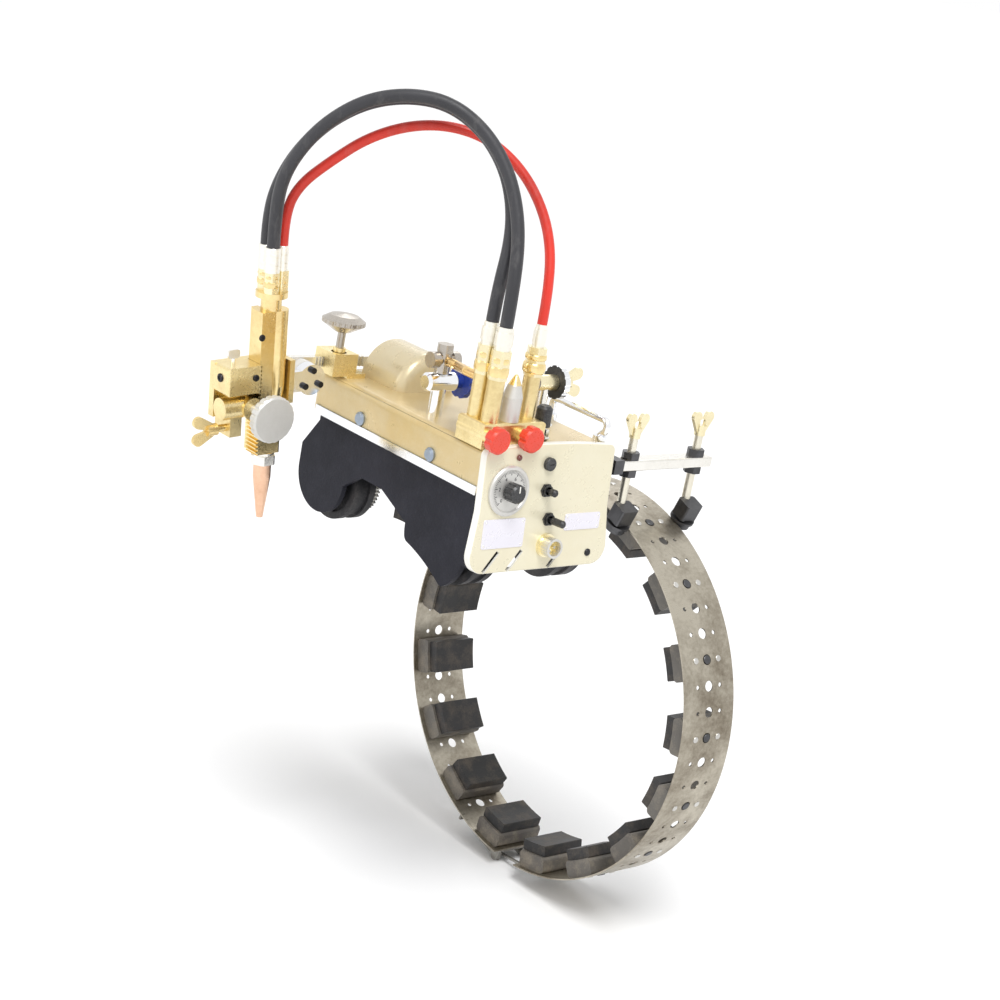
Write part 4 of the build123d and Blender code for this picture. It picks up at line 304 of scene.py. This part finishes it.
FINISHES = (
    (BAND_STEEL, "track_band"),
    (LATCH_STEEL, "latch_plates", "latch_lever", "latch_bail"),
    (YOKE, "foot_yokes"),
    (MAGNET, "foot_magnets", "belly_magnet"),
    (DARK_STEEL, "foot_bolts", "left_guide_arm", "right_guide_arm", "left_guide_roller", "right_guide_roller",
     "guide_bracket"),
    (STEEL, "band_rivets", "axle_gear", "drive_pinion", "gear_motor"),
    (BRASS_PALE, "left_guide_wing", "right_guide_wing", "union_nuts", "torch_unions"),
    (BRASS_CAST, "gas_manifold", "torch_holder", "slide_bracket"),
    (BRASS_ORANGE, "cross_pipe"),
    (BRASS, "torch_barrel", "torch_rack", "holder_wing"),
    (MUSHROOM, "inlet_valve", "cross_knob"),
    (NICKEL, "clamp_post", "holder_thumb", "guide_bar", "cross_bar"),
    (DISC, "lift_knob", "panel_fittings"),
    (IVORY, "hose_ferrules"),
    (CHROME, "case_trim", "tilt_plate", "carrying_rod"),
    (COPPER, "nozzle"),
    (CHASSIS, "chassis_frame"),
    (WHEEL, "front_wheelset", "rear_wheelset"),
    (CASING, "casing_cover"),
    (HUMP, "motor_cover"),
    (PANEL, "front_panel"),
    (BOARD, "control_board"),
    (BLACK, "switch_bodies", "power_toggle", "reverse_toggle", "clutch_lever", "clamp_wheel"),
    (BLACK_KNOB, "speed_knob"),
    (RED, "oxygen_knob", "fuel_knob"),
    (BLUE, "blue_knob"),
)

for first_finish, *dressed_nodes in FINISHES:
    for dressed_node in dressed_nodes:
        slots = NODES[dressed_node].data.materials
        slots.clear()
        slots.append(first_finish)

# Second finishes where a node joins pieces of two: faces whose middle lies in a box, in millimetres
FAR = 1000.0
SECOND_FINISHES = (
    ("torch_unions", IVORY, (-FAR, -FAR, 458.5), (FAR, FAR, FAR)),
    ("hose_ferrules", DISC, (-300.0, -142.0, 362.0), (-268.0, -116.0, 404.0)),
    ("clamp_wheel", CHROME, (-181.0, -99.0, 369.0), (-172.8, -61.0, 407.0)),
    ("clamp_wheel", BRASS_PALE, (-172.8, -90.0, 369.0), (-144.0, -70.0, 407.0)),
    ("clamp_post", BRASS_PALE, (-215.0, -99.0, 374.0), (-175.0, -60.0, 399.0)),
    ("inlet_valve", CHROME, (-315.0, -38.0, 337.0), (-270.0, -14.0, 384.0)),
    ("tilt_plate", SCREW_BLACK, (-375.0, 95.0, 325.0), (-345.0, 99.9, 356.0)),
    ("panel_fittings", BLACK, (-243.0, -158.0, 315.0), (-227.0, -150.0, 331.0)),
    ("panel_fittings", LAMP, (-281.0, -155.0, 327.0), (-273.0, -149.0, 335.0)),
    ("panel_fittings", BRASS_PALE, (-239.0, -168.0, 223.0), (-212.0, -156.0, 250.0)),
    ("blue_knob", BRASS_PALE, (-277.0, -31.0, 369.0), (-271.5, -21.0, 379.0)),
    ("cross_knob", BRASS_CAST, (-343.0, 93.0, 345.0), (-293.0, 143.0, 374.0)),
    ("case_trim", BLUED, (-326.0, -74.0, 299.0), (-319.0, 68.0, 317.0)),
    ("case_trim", BLUED, (-144.0, -74.0, 299.0), (-136.0, 68.0, 317.0)),
    ("case_trim", SCREW_BLACK, (-170.0, -163.0, 218.0), (-158.0, -156.0, 230.0)),
    ("torch_barrel", NICKEL, (-425.0, 87.0, 246.0), (-395.0, 113.0, 262.0)),
)
ROD_AXES = (("left_guide_arm", -51.3, -85.0), ("right_guide_arm", 51.3, -85.0))
ROD_R = 5.4
ROD_LOW = 250.0
RIM_TILT = 0.7


def second_finish(name, material, chosen):
    """Give the faces that a test picks another material slot; the mesh's shape stays."""
    data = NODES[name].data
    slot = len(data.materials)
    data.materials.append(material)
    for face in data.polygons:
        if chosen(face):
            face.material_index = slot


def in_box(low, high):
    return lambda face: all(a <= v <= b for a, v, b in zip(low, face.center / MM, high))


def on_rod(axis_x, axis_y):
    """Test for the faces of an upright rod above its foot, apart from the nuts round it."""
    def chosen(face):
        middle = face.center / MM
        return middle.z > ROD_LOW and math.hypot(middle.x - axis_x, middle.y - axis_y) < ROD_R
    return chosen


def on_rim(face):
    """Test for the rim of a plate that faces -Y."""
    return abs(face.normal.y) < RIM_TILT


for finish_node, finish, box_low, box_high in SECOND_FINISHES:
    second_finish(finish_node, finish, in_box(box_low, box_high))
for rod_node, rod_x, rod_y in ROD_AXES:
    second_finish(rod_node, ROD_STEEL, on_rod(rod_x, rod_y))
second_finish("front_panel", EDGE, on_rim)

# Small pieces: turned shapes, plates, marks and numbers, in millimetres on their own Z axis
TURN_STEPS = 40
DOME_STEPS = 6
BEAD_STEPS = 10
BEAD_SQUARENESS = 0.6
CORNER_STEPS = 6
SHARP = math.radians(38.0)
UP = (0.0, 0.0, 1.0)


def finished(name, verts, faces, material, smooth=True):
    data = bpy.data.meshes.new(name)
    data.from_pydata([tuple(v * MM for v in p) for p in verts], [], faces)
    data.polygons.foreach_set("use_smooth", [smooth] * len(faces))
    if smooth:
        data.set_sharp_from_angle(angle=SHARP)
    data.materials.append(material)
    data.update()
    return add_object(name, data)


def stand(place, axis=UP):
    """Matrix that puts local Z along an axis, at a place in millimetres."""
    turn = Vector(axis).normalized().to_track_quat("Z", "Y").to_matrix().to_4x4()
    return Matrix.Translation(Vector(place) * MM) @ turn


def settle(obj, matrix, body):
    obj.matrix_world = matrix
    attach(obj, body)


def skin(rings):
    """Quads between each ring of vertex numbers and the next."""
    faces = []
    for low, high in zip(rings, rings[1:]):
        for k in range(len(low)):
            j = (k + 1) % len(low)
            faces.append((low[k], low[j], high[j], high[k]))
    return faces


def turned(name, outline, material):
    """A turned piece from its half outline of radius and height, closed where the radius is zero."""
    verts = []
    rings = []
    for r, z in outline:
        start = len(verts)
        if r == 0:
            verts.append((0.0, 0.0, z))
            rings.append([start] * TURN_STEPS)
            continue
        for k in range(TURN_STEPS):
            turn = 2 * math.pi * k / TURN_STEPS
            verts.append((r * math.cos(turn), r * math.sin(turn), z))
        rings.append(range(start, start + TURN_STEPS))
    faces = [tuple(dict.fromkeys(face)) for face in skin(rings)]
    return finished(name, verts, [face for face in faces if len(face) > 2], material)


def socket_head(name, r, height, material):
    """A cap screw's head with its round socket."""
    well = r * 0.5
    rim = r * 0.15
    bevel = rim * 0.4
    outline = [(r, 0.0), (r, height - rim), (r - bevel, height - rim * 0.3), (r - rim, height),
               (well + bevel, height), (well, height - bevel), (well, height * 0.35), (0.0, height * 0.25)]
    return turned(name, outline, material)


def dome_head(name, r, height, material):
    turns = [math.pi / 2 * k / DOME_STEPS for k in range(DOME_STEPS)]
    outline = [(r * math.cos(turn), height * math.sin(turn)) for turn in turns]
    return turned(name, outline + [(0.0, height)], material)


def bead(name, inner, outer, length, material):
    """A rounded ring round a tube."""
    swell = outer - inner
    turns = [math.pi * k / BEAD_STEPS for k in range(BEAD_STEPS + 1)]
    outline = [(inner + swell * math.sin(turn) ** BEAD_SQUARENESS, length * (1 - math.cos(turn)) / 2)
               for turn in turns]
    return turned(name, outline, material)


def round_rectangle(width, height, r, z):
    points = []
    for cx, cy, start in ((1, 1, 0), (-1, 1, 90), (-1, -1, 180), (1, -1, 270)):
        for k in range(CORNER_STEPS + 1):
            turn = math.radians(start + 90 * k / CORNER_STEPS)
            points.append((cx * (width / 2 - r) + r * math.cos(turn),
                           cy * (height / 2 - r) + r * math.sin(turn), z))
    return points


def plate(name, width, height, r, thick, bevel, material):
    """A thin plate with rounded corners, a bevelled edge and an open back."""
    outlines = [round_rectangle(width, height, r, 0.0), round_rectangle(width, height, r, thick - bevel),
                round_rectangle(width - 2 * bevel, height - 2 * bevel, r - bevel, thick)]
    verts = [point for outline in outlines for point in outline]
    count = len(outlines[0])
    rings = [range(start, start + count) for start in range(0, len(verts), count)]
    return finished(name, verts, skin(rings) + [tuple(rings[-1])], material)


# Front panel's place: X across it, drop down from its upper edge, Z out of it
PANEL_TOP = (-231.5, -150.0, 340.0)
PANEL_TILT = math.radians(4.6)


def on_panel(x, drop, out=0.0):
    down = Vector((0.0, -math.sin(PANEL_TILT), -math.cos(PANEL_TILT)))
    normal = Vector((0.0, -math.cos(PANEL_TILT), math.sin(PANEL_TILT)))
    place = (Vector(PANEL_TOP) + Vector((x, 0.0, 0.0)) + down * drop + normal * out) * MM
    turn = Matrix((Vector((1.0, 0.0, 0.0)), -down, normal)).transposed().to_4x4()
    return Matrix.Translation(place) @ turn


# Bare plates where the photograph has labels: name, place across and down, width and height
BARE_PLATES = (
    ("left_bare_plate", -54.0, 88.0, 56.0, 31.0),
    ("right_bare_plate", 54.0, 81.0, 50.0, 18.0),
)
PLATE_CORNER = 2.5
PLATE_THICK = 0.8
PLATE_BEVEL = 0.3
RIVET_R = 1.2
RIVET_RISE = 0.7
RIVET_INSET = 3.2


def add_bare_plate(name, x, drop, width, height):
    made = plate(name, width, height, PLATE_CORNER, PLATE_THICK, PLATE_BEVEL, PLATE)
    settle(made, on_panel(x, drop), "chassis")
    for number, (sx, sy) in enumerate(((-1, -1), (1, -1), (1, 1), (-1, 1)), start=1):
        rivet = dome_head(f"{name}_rivet_{number}", RIVET_R, RIVET_RISE, NICKEL)
        rivet_x = x + sx * (width / 2 - RIVET_INSET)
        rivet_drop = drop + sy * (height / 2 - RIVET_INSET)
        settle(rivet, on_panel(rivet_x, rivet_drop, PLATE_THICK), "chassis")


for bare_plate in BARE_PLATES:
    add_bare_plate(*bare_plate)

# Dial scale: ticks and plain numbers on the dial's sunk face, and a pointer line on its knob
DIAL_X = -55.0
DIAL_DROP = 43.0
DIAL_FACE = 2.5
DIAL_START = 225.0
DIAL_SWEEP = 270.0
MARK_RISE = 0.15
TICKS = 50
TICKS_PER_LONG = 5
TICK_OUTER = 20.6
LONG_TICK = (16.6, 0.32)
SHORT_TICK = (18.4, 0.2)
TOP_NUMBER = 10
NUMBER_STEP = 2
NUMBER_R = 13.6
NUMBER_SIZE = 5.4
POINTER_OFFSET = 5.0
POINTER_OUT = 18.2


def dial_turn(step, steps):
    """Angle on the dial at a step of its scale, in radians."""
    return math.radians(DIAL_START - DIAL_SWEEP * step / steps)


def curve_mesh(data):
    """Vertices and faces that a curve or a text makes; the curve itself is removed again."""
    obj = bpy.data.objects.new(data.name, data)
    mesh = bpy.data.meshes.new_from_object(obj)
    verts = [v.co.copy() for v in mesh.vertices]
    faces = [tuple(f.vertices) for f in mesh.polygons]
    bpy.data.objects.remove(obj)
    bpy.data.curves.remove(data)
    bpy.data.meshes.remove(mesh)
    return verts, faces


def dial_ticks():
    verts = []
    faces = []
    for step in range(TICKS + 1):
        turn = dial_turn(step, TICKS)
        inner, half = SHORT_TICK if step % TICKS_PER_LONG else LONG_TICK
        ahead = Vector((math.cos(turn), math.sin(turn), 0.0))
        across = Vector((-ahead.y, ahead.x, 0.0)) * half
        start = len(verts)
        for z in (0.0, MARK_RISE):
            for r, side in ((inner, -1), (TICK_OUTER, -1), (TICK_OUTER, 1), (inner, 1)):
                spot = ahead * r + across * side
                verts.append((spot.x, spot.y, z))
        low = range(start, start + 4)
        high = range(start + 4, start + 8)
        faces.append(tuple(high))
        faces.extend(skin([low, high]))
    return finished("dial_ticks", verts, faces, INK, smooth=False)


def dial_number(value):
    data = bpy.data.curves.new("number", "FONT")
    data.body = str(value)
    data.size = NUMBER_SIZE
    data.align_x = "CENTER"
    data.align_y = "CENTER"
    data.extrude = MARK_RISE / 2
    verts, faces = curve_mesh(data)
    return finished(f"dial_number_{value}", verts, faces, INK, smooth=False)


def add_dial():
    settle(dial_ticks(), on_panel(DIAL_X, DIAL_DROP, DIAL_FACE), "chassis")
    for value in range(0, TOP_NUMBER + 1, NUMBER_STEP):
        turn = dial_turn(value, TOP_NUMBER)
        spot = on_panel(DIAL_X + NUMBER_R * math.cos(turn), DIAL_DROP - NUMBER_R * math.sin(turn),
                        DIAL_FACE + MARK_RISE / 2)
        settle(dial_number(value), spot, "chassis")
    pointer = plate("knob_pointer", width=1.4, height=7.0, r=0.6, thick=0.3, bevel=0.1, material=EDGE)
    settle(pointer, on_panel(DIAL_X, DIAL_DROP - POINTER_OFFSET, POINTER_OUT), "speed_control")


add_dial()

# Screw heads on the torch and its holder: name, foot, axis, radius, height and body
SCREW_HEADS = (
    ("rack_screw_1", (-442.0, 89.0, 388.6), (0.0, -1.0, 0.0), 3.6, 1.6, "torch"),
    ("rack_screw_2", (-444.0, 86.0, 346.4), (0.0, -1.0, 0.0), 3.6, 1.6, "tilt_head"),
    ("holder_screw_head", (-477.6, 101.0, 342.7), (-0.9936, 0.0, -0.1125), 4.6, 1.4, "tilt_head"),
)

# Trim along the torch's leaning hose ends: name, then foot and radius of the ferrule and of the nut
LEAN = (-0.1125, 0.0, 0.9936)
TORCH_ENDS = (
    ("rear_black", (-436.5, 109.0, 457.9), 7.9, (-434.7, 109.0, 442.0), 8.6),
    ("front_black", (-439.4, 92.6, 457.6), 7.9, (-437.6, 92.6, 441.7), 8.6),
    ("red", (-423.8, 98.3, 459.4), 6.4, (-422.0, 98.3, 443.5), 7.6),
)
CRIMP_LENGTH = 4.0
CRIMP_SINK = 0.4
CRIMP_RISE = 0.3
CRIMP_SHIFTS = (7.0, 16.0)
NUT_SINK = 1.4
SWELL_LENGTH = 7.0
LIP_LENGTH = 3.5
LIP_STEP = 0.5
LIP_SHIFT = 9.5

# Collars on the manifold's nuts, and the middle union's pointed cap
COLLARS = (
    ("rear_black", -308.0, -108.0, 10.9),
    ("front_black", -308.0, -130.0, 10.9),
    ("red", -250.0, -118.0, 12.2),
)
COLLAR_INNER = 9.4
COLLAR_LENGTH = 11.0
COLLAR_Z = 411.0
COLLAR_TOP_LENGTH = 6.0
COLLAR_TOP_STEP = 0.7
COLLAR_TOP_Z = 425.0
CAP_OUTLINE = [(7.2, 0.0), (6.4, 1.2), (4.2, 6.0), (2.6, 9.0), (1.2, 10.6), (0.0, 11.0)]
CAP_PLACE = (-281.5, -129.0, 401.5)


def along_torch(foot, shift):
    """Matrix of a place some millimetres up a leaning hose end from its foot."""
    return stand(Vector(foot) + Vector(LEAN) * shift, LEAN)


def add_trim():
    for name, place, axis, r, height, body in SCREW_HEADS:
        settle(socket_head(name, r, height, SCREW_BLACK), stand(place, axis), body)
    for name, foot, r, _, _ in TORCH_ENDS:
        for number, shift in enumerate(CRIMP_SHIFTS, start=1):
            ring = bead(f"{name}_crimp_{number}", r - CRIMP_SINK, r + CRIMP_RISE, CRIMP_LENGTH, IVORY)
            settle(ring, along_torch(foot, shift), "torch")
    for name, _, _, foot, r in TORCH_ENDS:
        swell = bead(f"{name}_torch_nut_swell", r - NUT_SINK, r, SWELL_LENGTH, BRASS)
        settle(swell, along_torch(foot, 0.0), "torch")
        lip = bead(f"{name}_torch_nut_lip", r - NUT_SINK, r - LIP_STEP, LIP_LENGTH, BRASS)
        settle(lip, along_torch(foot, LIP_SHIFT), "torch")
    for name, x, y, r in COLLARS:
        collar = bead(f"{name}_collar", COLLAR_INNER, r, COLLAR_LENGTH, BRASS)
        settle(collar, stand((x, y, COLLAR_Z)), "chassis")
        top = bead(f"{name}_collar_top", COLLAR_INNER, r - COLLAR_TOP_STEP, COLLAR_TOP_LENGTH, BRASS)
        settle(top, stand((x, y, COLLAR_TOP_Z)), "chassis")
    settle(turned("cap_point", CAP_OUTLINE, BRASS), stand(CAP_PLACE), "chassis")


add_trim()

# Hoses: radius in metres, rubber, and control points in millimetres from the torch to the manifold
BLACK_HOSE_R = 0.0068
RED_HOSE_R = 0.0053
HOSES = {
    "rear_black_hose": (BLACK_HOSE_R, HOSE_BLACK, [
        (-439.4, 109.0, 483.7), (-443.2, 109.0, 517.5), (-441, 100, 556), (-430, 86, 592), (-412, 66, 624),
        (-388, 41, 648), (-360, 12, 660), (-333, -17, 659), (-309, -45, 640), (-295, -69, 611),
        (-291, -87, 577), (-296, -100, 541), (-308, -108, 496), (-308, -108, 462)]),
    "front_black_hose": (BLACK_HOSE_R, HOSE_BLACK, [
        (-442.3, 92.6, 483.4), (-446.1, 92.6, 517.2), (-450, 85, 557), (-441, 71, 594), (-423, 52, 627),
        (-399, 28, 652), (-371, -1, 664), (-344, -30, 663), (-320, -58, 644), (-305, -83, 614),
        (-300, -103, 580), (-301, -118, 543), (-308, -130, 496), (-308, -130, 462)]),
    "red_hose": (RED_HOSE_R, HOSE_RED, [
        (-426.7, 98.3, 485.2), (-430.6, 98.3, 518.9), (-424, 90, 550), (-404, 70, 580), (-380, 47, 610),
        (-350, 21, 630), (-318, -5, 637), (-287, -32, 630), (-262, -59, 607), (-248, -84, 574),
        (-244, -103, 538), (-250, -118, 496), (-250, -118, 462)]),
}
# Each hose's sections: shares of its length, and the bodies at its two ends
SECTIONS = (
    (0.0, 0.27, "torch", "tilt_head"),
    (0.27, 0.78, "tilt_head", "cross_arm"),
    (0.78, 1.0, "cross_arm", "chassis"),
)
HOSE_RIBS = 28
LINE_STEPS = 12
LINE_ORDER = 3


def nurbs_line(name, points):
    """Points along the smooth line that the control points give, in metres."""
    data = bpy.data.curves.new(name + "_line", "CURVE")
    data.dimensions = "3D"
    data.resolution_u = LINE_STEPS
    spline = data.splines.new("NURBS")
    spline.points.add(len(points) - 1)
    for target, point in zip(spline.points, points):
        target.co = (*(v * MM for v in point), 1.0)
    spline.order_u = LINE_ORDER
    spline.use_endpoint_u = True
    return curve_mesh(data)[0]


def run_lengths(line):
    """Length along a line up to each of its points."""
    total = [0.0]
    for a, b in zip(line, line[1:]):
        total.append(total[-1] + (b - a).length)
    return total


def side_pairs(line):
    """A steady pair of side directions at each point of a line."""
    sides = []
    side = (line[1] - line[0]).normalized().orthogonal().normalized()
    for i in range(len(line)):
        a = line[max(i - 1, 0)]
        b = line[min(i + 1, len(line) - 1)]
        ahead = (b - a).normalized()
        side = (side - ahead * side.dot(ahead)).normalized()
        sides.append((side, ahead.cross(side)))
    return sides


def tube(name, line, sides, r, material):
    """A round tube along a line, closed by flat ends."""
    verts = []
    for point, (side, other) in zip(line, sides):
        for k in range(HOSE_RIBS):
            turn = 2 * math.pi * k / HOSE_RIBS
            verts.append(point + side * (r * math.cos(turn)) + other * (r * math.sin(turn)))
    rings = [range(start, start + HOSE_RIBS) for start in range(0, len(verts), HOSE_RIBS)]
    faces = skin(rings)
    for ring, step in ((rings[0], -1), (rings[-1], 1)):
        start = len(verts)
        verts.extend(verts[ring.start:ring.stop])
        faces.append(tuple(range(start, start + HOSE_RIBS))[::step])
    data = bpy.data.meshes.new(name)
    data.from_pydata(verts, [], faces)
    data.polygons.foreach_set("use_smooth", [len(face) == 4 for face in faces])
    data.materials.append(material)
    data.update()
    return add_object(name, data)


def add_hose(name, r, material, points):
    line = nurbs_line(name, points)
    sides = side_pairs(line)
    total = run_lengths(line)

    def nearest(share):
        return min(range(len(line)), key=lambda i: abs(total[i] - share * total[-1]))

    for number, (start, end, near, far) in enumerate(SECTIONS, start=1):
        first = nearest(start)
        last = nearest(end)
        part = line[first:last + 1]
        obj = tube(f"{name}_{number}", part, sides[first:last + 1], r, material)
        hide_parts(name)
        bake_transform(obj)


for hose_name, (hose_r, hose_material, hose_points) in HOSES.items():
    add_hose(hose_name, hose_r, hose_material, hose_points)

# Floor, world and lamps, in metres and watts
FLOOR_HALF = 90.0
FLOOR_PALE = (0.975, 0.975, 0.975)
FLOOR_DEEP = (0.96, 0.96, 0.965)
WORLD_LIGHT = 0.55
WORLD_SEEN = 1.0
SUN_STRENGTH = 1.85
SUN_PLACE = (-1.0, -1.5, 3.4)
SUN_ANGLE = math.radians(25.0)
LAMPS = (
    # name, place, target, width, height, power
    ("key", (-1.6, -2.2, 2.6), (-0.2, 0.0, 0.3), 1.6, 1.2, 15.0),
    ("fill", (-2.6, 0.9, 1.2), (-0.2, 0.0, 0.2), 1.4, 1.4, 9.0),
    ("back", (1.6, 1.8, 2.2), (-0.1, 0.0, 0.3), 1.2, 1.2, 10.0),
)


def add_floor():
    low = min(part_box(n)[0].z for n in NODES)
    s = Shader("floor_paper")
    s.put("Roughness", 0.9)
    s.put("Base Color", s.mix(s.spread(s.noise(3.0), 0.0, 1.0), FLOOR_PALE, FLOOR_DEEP))
    s.bump(s.noise(700.0, detail=2.0), 0.05, distance=0.0002)
    data = bpy.data.meshes.new("floor")
    corners = [(x * FLOOR_HALF, y * FLOOR_HALF, low) for x, y in ((-1, -1), (1, -1), (1, 1), (-1, 1))]
    data.from_pydata(corners, [], [(0, 1, 2, 3)])
    data.materials.append(s.material)
    add_object("floor", data)


def add_world():
    """Soft light from all round; the camera and clear or mirroring surfaces see plain white."""
    world = bpy.data.worlds.new("studio")
    scene.world = world
    world.use_nodes = True
    nodes = world.node_tree.nodes
    links = world.node_tree.links
    nodes.clear()
    out = nodes.new("ShaderNodeOutputWorld")
    mix = nodes.new("ShaderNodeMixShader")
    for socket, strength in ((1, WORLD_LIGHT), (2, WORLD_SEEN)):
        background = nodes.new("ShaderNodeBackground")
        background.inputs["Color"].default_value = WHITE
        background.inputs["Strength"].default_value = strength
        links.new(background.outputs[0], mix.inputs[socket])
    rays = nodes.new("ShaderNodeLightPath").outputs
    seen = rays["Is Camera Ray"]
    for kind in ("Is Glossy Ray", "Is Transmission Ray"):
        either = nodes.new("ShaderNodeMath")
        either.operation = "MAXIMUM"
        links.new(seen, either.inputs[0])
        links.new(rays[kind], either.inputs[1])
        seen = either.outputs[0]
    links.new(seen, mix.inputs[0])
    links.new(mix.outputs[0], out.inputs[0])


def add_light(data, place, target=(0.0, 0.0, 0.0)):
    obj = add_object(data.name, data)
    obj.location = place
    obj.rotation_euler = (Vector(target) - Vector(place)).to_track_quat("-Z", "Y").to_euler()


def add_sun():
    data = bpy.data.lights.new("daylight", "SUN")
    data.energy = SUN_STRENGTH
    data.angle = SUN_ANGLE
    add_light(data, SUN_PLACE)


def add_lamp(name, place, target, width, height, power):
    data = bpy.data.lights.new(name, "AREA")
    data.shape = "RECTANGLE"
    data.size = width
    data.size_y = height
    data.energy = power
    add_light(data, place, target)


add_floor()
add_world()
add_sun()
for lamp in LAMPS:
    add_lamp(*lamp)

scene.view_settings.view_transform = "Standard"
